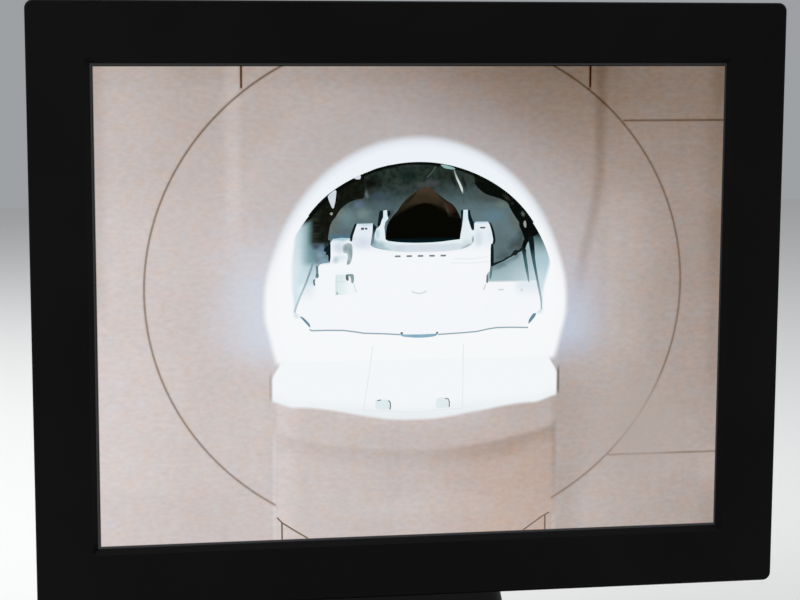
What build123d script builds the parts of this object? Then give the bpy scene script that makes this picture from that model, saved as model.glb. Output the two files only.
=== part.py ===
from build123d import *
import os

# A 15 inch desk monitor on a tilt and swivel stand, in millimetres.
# Origin: the middle of the base's underside. +X is the viewer's right, the screen faces -Y, +Z is up.

# Picture and panel
PICTURE_W = 304.1
PICTURE_H = 228.1
FRAME_GAP = 2.2
CELL_LAP = 7.0
CELL_T = 1.8
FILM_STACK_T = 1.0
GUIDE_T = 6.0
REFLECTOR_T = 0.3
TRAY_T = 1.2
RIM_T = 0.5
INK_T = 0.1
LAMP_R = 1.3

# Housing
BORDER = 30.0
BORDER_LAP = 1.0
BEZEL_DEPTH = 18.0
FACE_WALL = 2.4
SIDE_WALL = 2.5
OUTER_R = 4.0
EDGE_R = 1.2
SCREEN_Z = 232.0
FRONT_Y = -55.0
SHOULDER_DEPTH = 24.0
SHOULDER_IN = 2.0
BACK_DEPTH = 50.0
BULGE_W = 280.0
BULGE_H = 200.0
BULGE_TAPER = 8.0
BULGE_DROP = 10.0
BULGE_R = 12.0
BAY_H = 22.0
BAY_FRONT = 26.0

# Chassis and boards
CHASSIS_T = 1.0
CHASSIS_MARGIN = 4.0
STANDOFF_H = 6.0
STANDOFF_R = 2.75
BOARD_T = 1.6
BOARD_H = 96.0
MAIN_BOARD_W = 130.0
MAIN_BOARD_X = 60.0
POWER_BOARD_W = 100.0
POWER_BOARD_X = -66.0
BOARD_HOLE_IN = 5.0
SHIELD_H = 10.0
SHIELD_T = 0.6
RIBBON_T = 0.4
RAIL_W = 14.0
RAIL_IN = 30.0

# Mounting holes and tilt hinge
VESA_DROP = 22.0
VESA_FREE = 100.0
VESA_USED = 75.0
M4_R = 2.0
M3_R = 1.5
SCREW_PLAY = 0.05
HOLE_PLAY = 0.3
INSERT_R = 3.75
INSERT_L = 9.0
PLATE_W = 90.0
PLATE_T = 2.5
PIN_R = 4.0
RUN_GAP = 0.05
SNUG_GAP = 0.02
HINGE_BACK = 25.0
HINGE_DROP = 42.0
EAR_R = 10.0
NECK_EAR_R = 8.0
NECK_FRAME_HALF = 26.5
WASHER_T = 1.5
EAR_T = 2.5

# Neck and base
NECK_HALF_TOP = 38.0
NECK_HALF_BOTTOM = 66.0
NECK_TOP_Z = 174.0
NECK_FRAME_GAP = 1.6
NECK_DEPTH_TOP = 34.0
NECK_DEPTH_BOTTOM = 64.0
NECK_WALL = 2.4
NECK_R = 9.0
BASE_W = 250.0
BASE_D = 200.0
BASE_H = 16.0
BASE_R = 32.0
BASE_WALL = 2.2
WEIGHT_T = 6.0
FEET_T = 2.5
FOOT_R = 9.0
SWIVEL_Y = 27.0
RING_T = 2.0
RING_R = 40.0
FOOT_PLATE_T = 3.0
FOOT_PLATE_R = 59.0
BOLT_R = 4.0
STOP_R = 2.5
STOP_AT = 47.0
SWIVEL_LIMIT = 45.0

# Keys
KEY_W = 9.0
KEY_EDGE_R = 0.4
KEY_D = 4.0
KEY_PITCH = 15.0
KEY_FIRST_X = 90.0
KEY_PROUD = 0.8
KEY_TRAVEL = 0.6
KEY_DEPTH = 8.0
KEY_COUNT = 5
COLLAR_H = 1.5
COLLAR_LAP = 1.0
STEM = 3.0
STEM_H = 2.0
SWITCH_W = 5.0
SWITCH_H = 2.2
SWITCH_GAP = 0.1
KEY_BOARD_D = 8.0
KEY_BOARD_END = 10.0
POST_W = 4.0

# Fits and clearances
FIT = 0.3
SLIDE_GAP = 0.3

# Panel and its fixings
SKIRT_D = 6.5
GUIDE_LAP = 1.0
REFLECTOR_WALL = 0.3
TRAY_WALL = 0.8
TRAY_LIP = 6.6
PANEL_SCREW_PITCH = 160.0
DRIVER_W = 230.0
DRIVER_H = 18.0
DRIVER_T = 1.2
DRIVER_IN = 6.0
BOSS_R = 3.5
BOSS_IN = 10.0

# Picture of a ring-shaped machine, across and up from the middle of the screen
RING_MID = (0.5, 0.0)
RING_HALF_W = 74.5
RING_HALF_H = 82.0
BORE_MID = (1.2, 0.5)
BORE_PICTURE_R = 67.8
DOCK_TOP = -27.0
DOCK_BASE = -48.0
DOCK_HALF = 70.0
DOCK_DIP = 8.7
SEAM_MID = (1.2, 7.5)
SEAM_HALF_W = 130.8
SEAM_HALF_H = 122.8
SEAM_T = 0.9
COLUMN_HALF = 68.0
COLUMN_FOOT = 52.0
COLUMN_TOP = -46.0
COLUMN_KNEE = -105.0
COLUMN_BASE = -114.0

# Parts on the boards, and the shield
BOARD_LIFT = 1.5
CHIPS = ((0, 10, 22, 22, 2.0), (30, 14, 12, 18, 1.4), (-34, 12, 14, 9, 1.4), (-30, -8, 8, 8, 1.2))
COIL_PITCH = 44.0
COIL_W = 22.0
COIL_TALL = 26.0
COIL_H = 9.0
CAN_R = 4.0
CAN_H = 11.0
CAN_PITCH = 12.0
CAN_COUNT = 5
SHIELD_W = 104.0
SHIELD_UP = 12.0
SHIELD_TALL = 56.0

# Flat cables
SLOT_PLAY = 4.0
SLOT_H = 6.0
RIBBON_OUT = 6.0
RIBBON_BEND = 1.2
RIBBON_LAP = 4.0
LEAD_GAP = 1.0
PANEL_CABLE_X = 60.0
PANEL_CABLE_W = 22.0
LAMP_LEADS_X = -66.0
LAMP_LEADS_W = 12.0
KEY_CABLE_W = 4.0
KEY_CABLE_GAP = 0.5
KEY_CABLE_DEPTH = 15.5
KEY_CABLE_LEAD = 1.0

# Screws
SMALL_HEAD_R = 2.8
SMALL_HEAD_H = 1.8
M4_HEAD_R = 3.9
M4_HEAD_H = 2.4
TILT_SCREW_L = 9.0
COVER_SCREW_L = 14.0

# Sockets, and the bay that they look down into
BAY_LEFT = -17.0
BAY_END = 8.0
SOCKET_L = 12.0
DC_APART = 17.0
DC_R = 4.2
DC_BORE_R = 2.9
DC_PIN_R = 1.0
DC_BODY_W = 9.0
DC_BODY_T = 11.0
BNC_APART = 2.75
BNC_PITCH = 18.0
BNC_R = 4.8
BNC_WALL = 0.9
BNC_CORE_R = 1.6
BNC_BODY = 14.5
BNC_L = 9.0
BNC_LUG_R = 0.9
BNC_LUG_L = 1.6
BNC_LUG_PROUD = 1.0
BNC_LUG_UP = 3.0
VGA_X = 22.0
VGA_W = 31.0
VGA_T = 12.5
VGA_SHELL_W = 17.0
VGA_SHELL_T = 8.4
VGA_SHELL_L = 5.5
VGA_SLANT = 80
VGA_EDGE_R = 1.5
VGA_ROW_SHIFT = 0.6
VGA_ROW_PITCH = 2.0
VGA_PIN_PITCH = 2.4
VGA_PINS = 5
VGA_PIN_R = 0.5
VGA_NUT_X = 12.5
VGA_NUT_R = 2.4
VGA_NUT_L = 4.5
VGA_NUT_BORE_R = 1.4

# Rear cover
COVER_WALL = 2.5
TUBE_R = 5.0
INSERT_BOSS_R = 6.0
VENT_W = 3.0
VENT_H = 24.0
VENT_PITCH = 8.0
VENT_COUNT = 14
VENT_UP = 62.0
INTAKE_H = 20.0
INTAKE_COUNT = 7
INTAKE_SIDE = 44.0
INTAKE_EDGE = 9.5
GROOVE = 0.8
LOCK_W = 7.0
LOCK_H = 3.0
LOCK_SIDE = 22.0
LOCK_UP = -60.0

# Yoke, hinge pin and nut
YOKE_TOP = 25.0
YOKE_FOOT = 12.0
PIN_HEAD_R = 6.5
PIN_HEAD_T = 3.0
PIN_END = 1.0
NUT_R = 7.5
NUT_T = 5.0

# Neck frame and covers
FRAME_T = 2.5
FRAME_DEEP = 22.0
EAR_RISE = 40.0
NUT_HOLE_R = 10.0
FOOT_SCREW_X = 38.0
FOOT_SCREW_Y = 11.0
FOOT_SCREW_BACK = 25.0
NECK_LIFT = 1.0
PAD_W = 30.0
PAD_H = 8.0
PAD_LOW = 60.0
PAD_HIGH = 140.0
CORD_HOLE_W = 44.0
CORD_HOLE_H = 18.0
CORD_HOLE_Z = 84.0

# Swivel bolt, base weight and base cover
RING_BORE = 14.0
BOLT_HEAD_R = 6.5
BOLT_HEAD_T = 3.0
BOLT_END = 1.5
SINK_PLAY = 0.7
NUT_FLANGE_R = 9.0
NUT_FLANGE_T = 2.0
NUT_TALL = 6.0
STOP_SEAT = 4.5
WEIGHT_GAP = 1.5
BASE_SCREW_X = 120.0
BASE_SCREW_Y = 150.0
BASE_SCREW_SINK = 2.2
BASE_SCREW_L = 8.5
BASE_BOSS_R = 4.0
FOOT_IN = 28.0
SKIRT_LIFT = 1.0
TOP_EDGE_R = 1.8
OPENING_R = 31.0

# Worked out from the values above
HEAD_W = PICTURE_W + 2 * BORDER
HEAD_H = PICTURE_H + 2 * BORDER
OPENING_W = PICTURE_W + 2 * BORDER_LAP
OPENING_H = PICTURE_H + 2 * BORDER_LAP
RIM_W = PICTURE_W + 2 * FRAME_GAP
RIM_H = PICTURE_H + 2 * FRAME_GAP
CELL_W = PICTURE_W + 2 * CELL_LAP
CELL_H = PICTURE_H + 2 * CELL_LAP
RIM_D = FACE_WALL
CELL_D = RIM_D + RIM_T
FILMS_D = CELL_D + CELL_T
GUIDE_D = FILMS_D + FILM_STACK_T
REFLECTOR_D = GUIDE_D + GUIDE_T
TRAY_D = REFLECTOR_D + REFLECTOR_T
TRAY_BACK_D = TRAY_D + TRAY_T
GUIDE_W = PICTURE_W + 2 * GUIDE_LAP
GUIDE_H = PICTURE_H + 2 * GUIDE_LAP
BNC_IN_X = VESA_FREE / 2 + INSERT_BOSS_R + BNC_APART + BNC_BODY / 2
BNC_OUT_X = BNC_IN_X + BNC_PITCH
DC_X = BNC_OUT_X + DC_APART
BAY_RIGHT = DC_X + BAY_END
BAY_W = BAY_RIGHT - BAY_LEFT
BAY_X = (BAY_RIGHT + BAY_LEFT) / 2
KEY_CABLE_X = BAY_RIGHT + COVER_WALL + KEY_CABLE_GAP + KEY_CABLE_W / 2
INK_D = CELL_D - INK_T
SINK_R = BOLT_HEAD_R + SINK_PLAY
SINK_H = BOLT_HEAD_T + FIT
BACK = (0, 1, 0)
FORWARD = (0, -1, 0)
UP = (0, 0, 1)
DOWN = (0, 0, -1)
os.makedirs("parts", exist_ok=True)


def facing(depth, x=0.0, up=0.0):
    """A plane that looks out of the screen, so many millimetres behind the front face."""
    return Plane(origin=(x, FRONT_Y + depth, SCREEN_Z + up), x_dir=(1, 0, 0), z_dir=FORWARD)


def keep(builder, name):
    """Names a finished piece and writes it to its own file."""
    builder.part.label = name
    export_step(builder.part, "parts/" + name + ".step")


# Bezel: one moulded frame, with a bevelled opening and screw bosses behind its face
boss_x = HEAD_W / 2 - BOSS_IN
boss_up = HEAD_H / 2 - BOSS_IN
wall_in = SCREEN_Z - HEAD_H / 2 + SIDE_WALL
key_y = FRONT_Y + KEY_DEPTH + KEY_D / 2
last_x = KEY_FIRST_X + (KEY_COUNT - 1) * KEY_PITCH
switch_z = wall_in + COLLAR_H + STEM_H + KEY_TRAVEL + SWITCH_GAP
key_board_z = switch_z + SWITCH_H
with BuildPart() as bezel:
    with BuildSketch(facing(0)):
        RectangleRounded(HEAD_W, HEAD_H, OUTER_R)
    extrude(amount=BEZEL_DEPTH, dir=BACK)
    front_edges = bezel.edges().group_by(Axis.Y)[0]
    fillet(front_edges, EDGE_R)
    with BuildSketch(facing(FACE_WALL)):
        RectangleRounded(HEAD_W - 2 * SIDE_WALL, HEAD_H - 2 * SIDE_WALL, OUTER_R - SIDE_WALL)
    extrude(amount=BEZEL_DEPTH, dir=BACK, mode=Mode.SUBTRACT)
    with BuildSketch(facing(FACE_WALL)):
        Rectangle(OPENING_W, OPENING_H)
    with BuildSketch(facing(0)):
        Rectangle(OPENING_W + 2 * FACE_WALL, OPENING_H + 2 * FACE_WALL)
    loft(mode=Mode.SUBTRACT)
    with BuildSketch(facing(FACE_WALL)):
        with GridLocations(2 * boss_x, 2 * boss_up, 2, 2):
            Circle(BOSS_R)
    extrude(amount=BEZEL_DEPTH - FACE_WALL, dir=BACK)
    with BuildSketch(facing(BEZEL_DEPTH)):
        with GridLocations(2 * boss_x, 2 * boss_up, 2, 2):
            Circle(M3_R + SCREW_PLAY)
    extrude(amount=BEZEL_DEPTH - 2 * FACE_WALL, dir=FORWARD, mode=Mode.SUBTRACT)
    with BuildSketch(Plane.XY.offset(SCREEN_Z - HEAD_H / 2 - SIDE_WALL)):
        for number in range(KEY_COUNT):
            with Locations((KEY_FIRST_X + number * KEY_PITCH, FRONT_Y + KEY_DEPTH + KEY_D / 2)):
                Rectangle(KEY_W + 2 * SLIDE_GAP, KEY_D + 2 * SLIDE_GAP)
    extrude(amount=3 * SIDE_WALL, mode=Mode.SUBTRACT)
    with BuildSketch(Plane.XY.offset(wall_in)):
        for x in (KEY_FIRST_X - KEY_BOARD_END + POST_W / 2, last_x + KEY_BOARD_END - POST_W / 2):
            with Locations((x, key_y)):
                Rectangle(POST_W, KEY_BOARD_D)
    extrude(amount=key_board_z - wall_in)
keep(bezel, "bezel")

# Panel frame: the thin steel rim round the glass, with skirts that reach back over the stack
with BuildPart() as panel_frame:
    with BuildSketch(facing(RIM_D)):
        Rectangle(CELL_W + 2 * (FIT + RIM_T), CELL_H + 2 * (FIT + RIM_T))
    extrude(amount=RIM_T + SKIRT_D, dir=BACK)
    with BuildSketch(facing(CELL_D)):
        Rectangle(CELL_W + 2 * FIT, CELL_H + 2 * FIT)
    extrude(amount=SKIRT_D, dir=BACK, mode=Mode.SUBTRACT)
    with BuildSketch(facing(RIM_D)):
        Rectangle(RIM_W, RIM_H)
    extrude(amount=RIM_T, dir=BACK, mode=Mode.SUBTRACT)
keep(panel_frame, "panel_frame")

# The stack behind the rim: glass cell, film stack, light guide and reflector sheet
stack = (
    ("lcd_cell", CELL_D, CELL_W, CELL_H, CELL_T),
    ("optical_films", FILMS_D, GUIDE_W, GUIDE_H, FILM_STACK_T),
    ("light_guide", GUIDE_D, GUIDE_W, GUIDE_H, GUIDE_T),
    ("reflector_sheet", REFLECTOR_D, GUIDE_W, GUIDE_H, REFLECTOR_T),
)
for name, depth, width, height, thickness in stack:
    with BuildPart() as layer:
        with BuildSketch(facing(depth)):
            Rectangle(width, height)
        extrude(amount=thickness, dir=BACK)
    keep(layer, name)

# Lamps: one tube along the guide's top edge and one along its bottom edge, in folded reflectors
lamp_up = GUIDE_H / 2 + FIT + LAMP_R
lamp_depth = GUIDE_D + GUIDE_T / 2
with BuildPart() as backlight_lamps:
    for side in (1, -1):
        with BuildSketch(Plane.YZ.offset(-GUIDE_W / 2)):
            with Locations((FRONT_Y + lamp_depth, SCREEN_Z + side * lamp_up)):
                Circle(LAMP_R)
        extrude(amount=GUIDE_W)
keep(backlight_lamps, "backlight_lamps")

with BuildPart() as lamp_reflectors:
    for side in (1, -1):
        inner = LAMP_R + FIT
        away = Align.MIN if side > 0 else Align.MAX
        with BuildSketch(Plane.YZ.offset(-GUIDE_W / 2)):
            with Locations((FRONT_Y + lamp_depth, SCREEN_Z + side * GUIDE_H / 2)):
                outer = 2 * (inner + REFLECTOR_WALL)
                Rectangle(outer, 2 * inner + REFLECTOR_WALL, align=(Align.CENTER, away))
                Rectangle(2 * inner, 2 * inner, align=(Align.CENTER, away), mode=Mode.SUBTRACT)
        extrude(amount=GUIDE_W)
keep(lamp_reflectors, "lamp_reflectors")

# Panel tray: pressed steel back of the panel, whose side walls stand inside the rim's skirts
rail_x = CELL_W / 2 - RAIL_IN
with BuildPart() as panel_tray:
    with BuildSketch(facing(TRAY_BACK_D)):
        Rectangle(CELL_W, CELL_H)
    extrude(amount=TRAY_LIP, dir=FORWARD)
    with BuildSketch(facing(TRAY_D)):
        Rectangle(CELL_W - 2 * TRAY_WALL, CELL_H - 2 * TRAY_WALL)
    extrude(amount=TRAY_LIP, dir=FORWARD, mode=Mode.SUBTRACT)
    with BuildSketch(facing(TRAY_D)):
        with GridLocations(2 * rail_x, PANEL_SCREW_PITCH, 2, 2):
            Circle(M3_R + SCREW_PLAY)
    extrude(amount=TRAY_T, dir=BACK, mode=Mode.SUBTRACT)
keep(panel_tray, "panel_tray")

# Driver board: a long narrow board along the tray's upper back edge
driver_up = CELL_H / 2 - DRIVER_H / 2 - DRIVER_IN
with BuildPart() as driver_board:
    with BuildSketch(facing(TRAY_BACK_D, up=driver_up)):
        Rectangle(DRIVER_W, DRIVER_H)
    extrude(amount=DRIVER_T, dir=BACK)
keep(driver_board, "driver_board")

# The lit picture, in flat fields of colour on the glass: the front of a large ring-shaped machine.
# Its sizes are in millimetres across and up from the middle of the screen.
picture_top = PICTURE_H / 2


def machine_ring(half_w, half_h, middle, mode=Mode.ADD):
    """An upright ellipse."""
    with Locations(middle):
        Ellipse(half_w, half_h, mode=mode)


def dock_outline(mode=Mode.ADD):
    """The rounded front of the machine's foot, with a bowed lower edge."""
    with BuildLine() as outline:
        left = Polyline((-64.5, DOCK_TOP), (-69, -33), (-DOCK_HALF, -43), (-60, DOCK_BASE))
        right = Polyline((60, DOCK_BASE), (DOCK_HALF, -43), (69, -33), (65.5, DOCK_TOP))
        ThreePointArc(left @ 1, (0, DOCK_BASE - DOCK_DIP), right @ 0)
        Line(right @ 1, left @ 0)
    make_face(outline.edges(), mode=mode)


def tray_outline(mode=Mode.ADD):
    """The patient table's end and the coil that lies on it."""
    with BuildLine() as outline:
        sill = ThreePointArc((-51, -12), (2, -15.5), (55.5, -12.5))
        edge = Polyline(
            sill @ 1, (61.5, -3), (60, 9.5), (36, 10), (36, 38.5), (29, 38.5), (28, 31),
            (24.8, 45), (22.7, 45), (21.2, 30), (-14.8, 30), (-14.5, 45.5), (-16.5, 45.5),
            (-18, 31), (-21, 31), (-21, 38.5), (-30, 38.5), (-31, 31), (-41.5, 31), (-42, 20),
            (-48, 19), (-49.5, 11.5), (-53, 11), (-58, -3), sill @ 0,
        )
    make_face(outline.edges(), mode=mode)


def tunnel_outline(mode=Mode.ADD):
    """The bright far wall of the bore."""
    with BuildLine() as outline:
        Polyline((-31, 31), (-43, 25), (-40, 40), (-33, 50), (-24, 54), (-10, 57), (3.3, 58), (25, 57),
                 (38, 50), (48, 41), (53, 27), (38, 18), (36, 10), (-31, 10), close=True)
    make_face(outline.edges(), mode=mode)


def opening_outline(mode=Mode.ADD):
    """The dark round opening at the far end of the bore."""
    with Locations((4, 31)):
        Circle(19.0, mode=mode)


def column_outline(mode=Mode.ADD):
    """The machine's foot below the dock."""
    with BuildLine() as outline:
        Polyline((-COLUMN_HALF, COLUMN_TOP), (-COLUMN_HALF, COLUMN_KNEE), (-COLUMN_FOOT, COLUMN_BASE),
                 (COLUMN_FOOT, COLUMN_BASE), (COLUMN_HALF, COLUMN_KNEE), (COLUMN_HALF, COLUMN_TOP),
                 close=True)
    make_face(outline.edges(), mode=mode)


def seam_lines(mode=Mode.ADD):
    """Panel joints of the machine's cover: a long ellipse and short straight lines."""
    inner = Mode.SUBTRACT if mode == Mode.ADD else Mode.ADD
    upright = ((-83.2, 103.5), (84.8, 103.5))
    level = ((101.5, 87.5), (96.0, -77.2))
    machine_ring(SEAM_HALF_W + SEAM_T / 2, SEAM_HALF_H + SEAM_T / 2, SEAM_MID, mode)
    machine_ring(SEAM_HALF_W - SEAM_T / 2, SEAM_HALF_H - SEAM_T / 2, SEAM_MID, inner)
    for x, up in upright:
        with Locations((x, up)):
            Rectangle(SEAM_T, picture_top - up, align=(Align.CENTER, Align.MIN), mode=mode)
    for x, up in level:
        with Locations((x, up)):
            Rectangle(PICTURE_W / 2 - x, SEAM_T, align=(Align.MIN, Align.CENTER), mode=mode)


def print_field(name, draw):
    """Makes one field of the picture, clipped to the picture's edge."""
    with BuildPart() as field:
        with BuildSketch(facing(INK_D)):
            draw()
            Rectangle(PICTURE_W, PICTURE_H, mode=Mode.INTERSECT)
        extrude(amount=INK_T, dir=BACK)
    keep(field, name)


def draw_seams():
    seam_lines()
    column_outline(Mode.SUBTRACT)


def draw_cover():
    Rectangle(PICTURE_W, PICTURE_H)
    add(seams.sketch, mode=Mode.SUBTRACT)
    machine_ring(RING_HALF_W, RING_HALF_H, RING_MID, Mode.SUBTRACT)
    dock_outline(Mode.SUBTRACT)
    column_outline(Mode.SUBTRACT)


def draw_ring():
    machine_ring(RING_HALF_W, RING_HALF_H, RING_MID)
    machine_ring(BORE_PICTURE_R, BORE_PICTURE_R, BORE_MID, Mode.SUBTRACT)
    tray_outline(Mode.SUBTRACT)
    dock_outline(Mode.SUBTRACT)
    column_outline(Mode.SUBTRACT)


def draw_bore():
    machine_ring(BORE_PICTURE_R, BORE_PICTURE_R, BORE_MID)
    tunnel_outline(Mode.SUBTRACT)
    opening_outline()
    tray_outline(Mode.SUBTRACT)
    dock_outline(Mode.SUBTRACT)
    column_outline(Mode.SUBTRACT)


def draw_tunnel():
    tunnel_outline()
    opening_outline(Mode.SUBTRACT)
    tray_outline(Mode.SUBTRACT)


def draw_column():
    column_outline()
    dock_outline(Mode.SUBTRACT)


with BuildSketch() as seams:
    draw_seams()
print_field("picture_seams", draw_seams)
print_field("picture_cover", draw_cover)
print_field("picture_ring", draw_ring)
print_field("picture_bore", draw_bore)
print_field("picture_tunnel", draw_tunnel)
print_field("picture_table", tray_outline)
print_field("picture_dock", dock_outline)
print_field("picture_column", draw_column)

# Chassis plate: one steel sheet behind the panel, with two pressed rails that the panel is fixed to
chassis_w = HEAD_W - 2 * (SIDE_WALL + CHASSIS_MARGIN)
chassis_h = HEAD_H - 2 * (SIDE_WALL + CHASSIS_MARGIN)
rail_h = PANEL_SCREW_PITCH + 2 * RAIL_W
board_up = -BULGE_DROP - BULGE_H / 2 + BAY_H + SIDE_WALL + BOARD_LIFT + BOARD_H / 2
chassis_back = BEZEL_DEPTH + CHASSIS_T
board_depth = chassis_back + STANDOFF_H
board_back = board_depth + BOARD_T
board_top = board_up + BOARD_H / 2
board_foot = board_up - BOARD_H / 2
slots = (
    (PANEL_CABLE_X, board_top + RIBBON_OUT, PANEL_CABLE_W),
    (LAMP_LEADS_X, board_top + RIBBON_OUT, LAMP_LEADS_W),
    (LAMP_LEADS_X, board_foot - RIBBON_OUT, LAMP_LEADS_W),
    (KEY_CABLE_X, board_foot - RIBBON_OUT, KEY_CABLE_W),
)
with BuildPart() as chassis_plate:
    with BuildSketch(facing(BEZEL_DEPTH)):
        Rectangle(chassis_w, chassis_h)
        with GridLocations(2 * boss_x, 2 * boss_up, 2, 2):
            Circle(M3_R + HOLE_PLAY, mode=Mode.SUBTRACT)
        for x, up, width in slots:
            with Locations((x, up)):
                Rectangle(width + SLOT_PLAY, SLOT_H, mode=Mode.SUBTRACT)
    extrude(amount=CHASSIS_T, dir=BACK)
    with BuildSketch(facing(BEZEL_DEPTH)):
        with GridLocations(2 * rail_x, 0, 2, 1):
            Rectangle(RAIL_W, rail_h)
    extrude(amount=BEZEL_DEPTH - TRAY_BACK_D, dir=FORWARD)
    with BuildSketch(facing(chassis_back)):
        with GridLocations(2 * rail_x, 0, 2, 1):
            Rectangle(RAIL_W - 2 * CHASSIS_T, rail_h - 2 * CHASSIS_T)
    extrude(amount=chassis_back - TRAY_BACK_D - CHASSIS_T, dir=FORWARD, mode=Mode.SUBTRACT)
    with BuildSketch(facing(TRAY_BACK_D)):
        with GridLocations(2 * rail_x, PANEL_SCREW_PITCH, 2, 2):
            Circle(M3_R + HOLE_PLAY)
    extrude(amount=CHASSIS_T, dir=BACK, mode=Mode.SUBTRACT)
keep(chassis_plate, "chassis_plate")

# Standoffs and boards. A board's holes line up with the standoffs below it.
boards = ((MAIN_BOARD_X, MAIN_BOARD_W), (POWER_BOARD_X, POWER_BOARD_W))
with BuildPart() as board_standoffs:
    for x, width in boards:
        with BuildSketch(facing(chassis_back, x, board_up)):
            with GridLocations(width - 2 * BOARD_HOLE_IN, BOARD_H - 2 * BOARD_HOLE_IN, 2, 2):
                RegularPolygon(STANDOFF_R, 6)
                Circle(M3_R + SCREW_PLAY, mode=Mode.SUBTRACT)
        extrude(amount=STANDOFF_H, dir=BACK)
keep(board_standoffs, "board_standoffs")


def bare_board(x, width):
    """A board's outline with a hole at each corner."""
    with BuildPart() as board:
        with BuildSketch(facing(board_depth, x, board_up)):
            Rectangle(width, BOARD_H)
            with GridLocations(width - 2 * BOARD_HOLE_IN, BOARD_H - 2 * BOARD_HOLE_IN, 2, 2):
                Circle(M3_R + HOLE_PLAY, mode=Mode.SUBTRACT)
        extrude(amount=BOARD_T, dir=BACK)
    return board.part


# Main board, with its picture processor, memory and cable headers
with BuildPart() as main_board:
    add(bare_board(MAIN_BOARD_X, MAIN_BOARD_W))
    for x, up, width, height, thickness in CHIPS:
        with BuildSketch(facing(board_back, MAIN_BOARD_X + x, board_up + up)):
            Rectangle(width, height)
        extrude(amount=thickness, dir=BACK)
keep(main_board, "main_board")

# Power board, with two transformers and a row of capacitors
with BuildPart() as power_board:
    add(bare_board(POWER_BOARD_X, POWER_BOARD_W))
    with BuildSketch(facing(board_back, POWER_BOARD_X, board_up)):
        with GridLocations(COIL_PITCH, 0, 2, 1):
            Rectangle(COIL_W, COIL_TALL)
    extrude(amount=COIL_H, dir=BACK)
    with BuildSketch(facing(board_back, POWER_BOARD_X, board_up - BOARD_H / 4)):
        with GridLocations(CAN_PITCH, 0, CAN_COUNT, 1):
            Circle(CAN_R)
    extrude(amount=CAN_H, dir=BACK)
keep(power_board, "power_board")

# Shield: a thin steel lid over the main board's upper part
with BuildPart() as board_shield:
    with BuildSketch(facing(board_back, MAIN_BOARD_X, board_up + SHIELD_UP)):
        Rectangle(SHIELD_W, SHIELD_TALL)
    extrude(amount=SHIELD_H, dir=BACK)
    with BuildSketch(facing(board_back, MAIN_BOARD_X, board_up + SHIELD_UP)):
        Rectangle(SHIELD_W - 2 * SHIELD_T, SHIELD_TALL - 2 * SHIELD_T)
    extrude(amount=SHIELD_H - SHIELD_T, dir=BACK, mode=Mode.SUBTRACT)
keep(board_shield, "board_shield")


def ribbon(points, x, width):
    """A flat cable, bent along points given as depth and height, and as wide as asked."""
    places = [(FRONT_Y + depth, SCREEN_Z + up) for depth, up in points]
    with BuildPart() as cable:
        with BuildSketch(Plane.YZ.offset(x - width / 2)):
            with BuildLine():
                FilletPolyline(*places, radius=RIBBON_BEND)
            trace(line_width=RIBBON_T)
        extrude(amount=width)
    return cable.part


# Flat cables, each through its own slot in the chassis plate
half_ribbon = RIBBON_T / 2
behind_driver = TRAY_BACK_D + DRIVER_T + half_ribbon
behind_tray = TRAY_BACK_D + half_ribbon
on_board = board_back + half_ribbon
over = board_top + RIBBON_OUT
under = board_foot - RIBBON_OUT
with BuildPart() as panel_cable:
    add(ribbon(((behind_driver, driver_up), (behind_driver, over), (on_board, over),
                (on_board, board_top - RIBBON_LAP)), PANEL_CABLE_X, PANEL_CABLE_W))
keep(panel_cable, "panel_cable")

lead_end = driver_up - DRIVER_H / 2 - LEAD_GAP
with BuildPart() as lamp_leads:
    ends = ((lead_end, over, board_top - RIBBON_LAP), (-lead_end, under, board_foot + RIBBON_LAP))
    for far, turn, end in ends:
        add(ribbon(((behind_tray, far), (behind_tray, turn), (on_board, turn),
                    (on_board, end)), LAMP_LEADS_X, LAMP_LEADS_W))
keep(lamp_leads, "lamp_leads")


def backing(depth, x=0.0, up=0.0):
    """A plane that looks out of the back, so many millimetres behind the front face."""
    return Plane(origin=(x, FRONT_Y + depth, SCREEN_Z + up), x_dir=(-1, 0, 0), z_dir=BACK)


def corners(across, along):
    """The four corners of a rectangle round the origin."""
    return [(side * across / 2, row * along / 2) for side in (-1, 1) for row in (-1, 1)]


def screw(plane, radius, length, head_r, head_h, six_sided=False):
    """A screw with a round or six-sided head, which stands on the plane; the shank goes the other way."""
    with BuildPart() as fastener:
        with BuildSketch(plane):
            if six_sided:
                RegularPolygon(head_r, 6)
            else:
                Circle(head_r)
        extrude(amount=head_h)
        with BuildSketch(plane):
            Circle(radius)
        extrude(amount=-length)
    return fastener.part


# Small screws: four hold the panel to the rails and eight hold the boards to their standoffs
with BuildPart() as panel_screws:
    for x, up in corners(2 * rail_x, PANEL_SCREW_PITCH):
        seat = backing(TRAY_BACK_D + CHASSIS_T, x, up)
        add(screw(seat, M3_R, CHASSIS_T + TRAY_T, SMALL_HEAD_R, SMALL_HEAD_H, True))
keep(panel_screws, "panel_screws")

with BuildPart() as board_screws:
    for middle, width in boards:
        for x, up in corners(width - 2 * BOARD_HOLE_IN, BOARD_H - 2 * BOARD_HOLE_IN):
            seat = backing(board_back, middle + x, board_up + up)
            add(screw(seat, M3_R, BOARD_T + STANDOFF_H, SMALL_HEAD_R, SMALL_HEAD_H, True))
keep(board_screws, "board_screws")


# Sockets, which stand on the main board's lower edge and look down into the bay
bay_top = -BULGE_DROP - BULGE_H / 2 + BAY_H
bay_ceiling = bay_top + SIDE_WALL


def under_board(x, stand_off, up):
    """A plane that looks down, so many millimetres behind the main board's back face."""
    origin = (x, FRONT_Y + board_back + stand_off, SCREEN_Z + up)
    return Plane(origin=origin, x_dir=(1, 0, 0), z_dir=(0, 0, -1))


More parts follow.
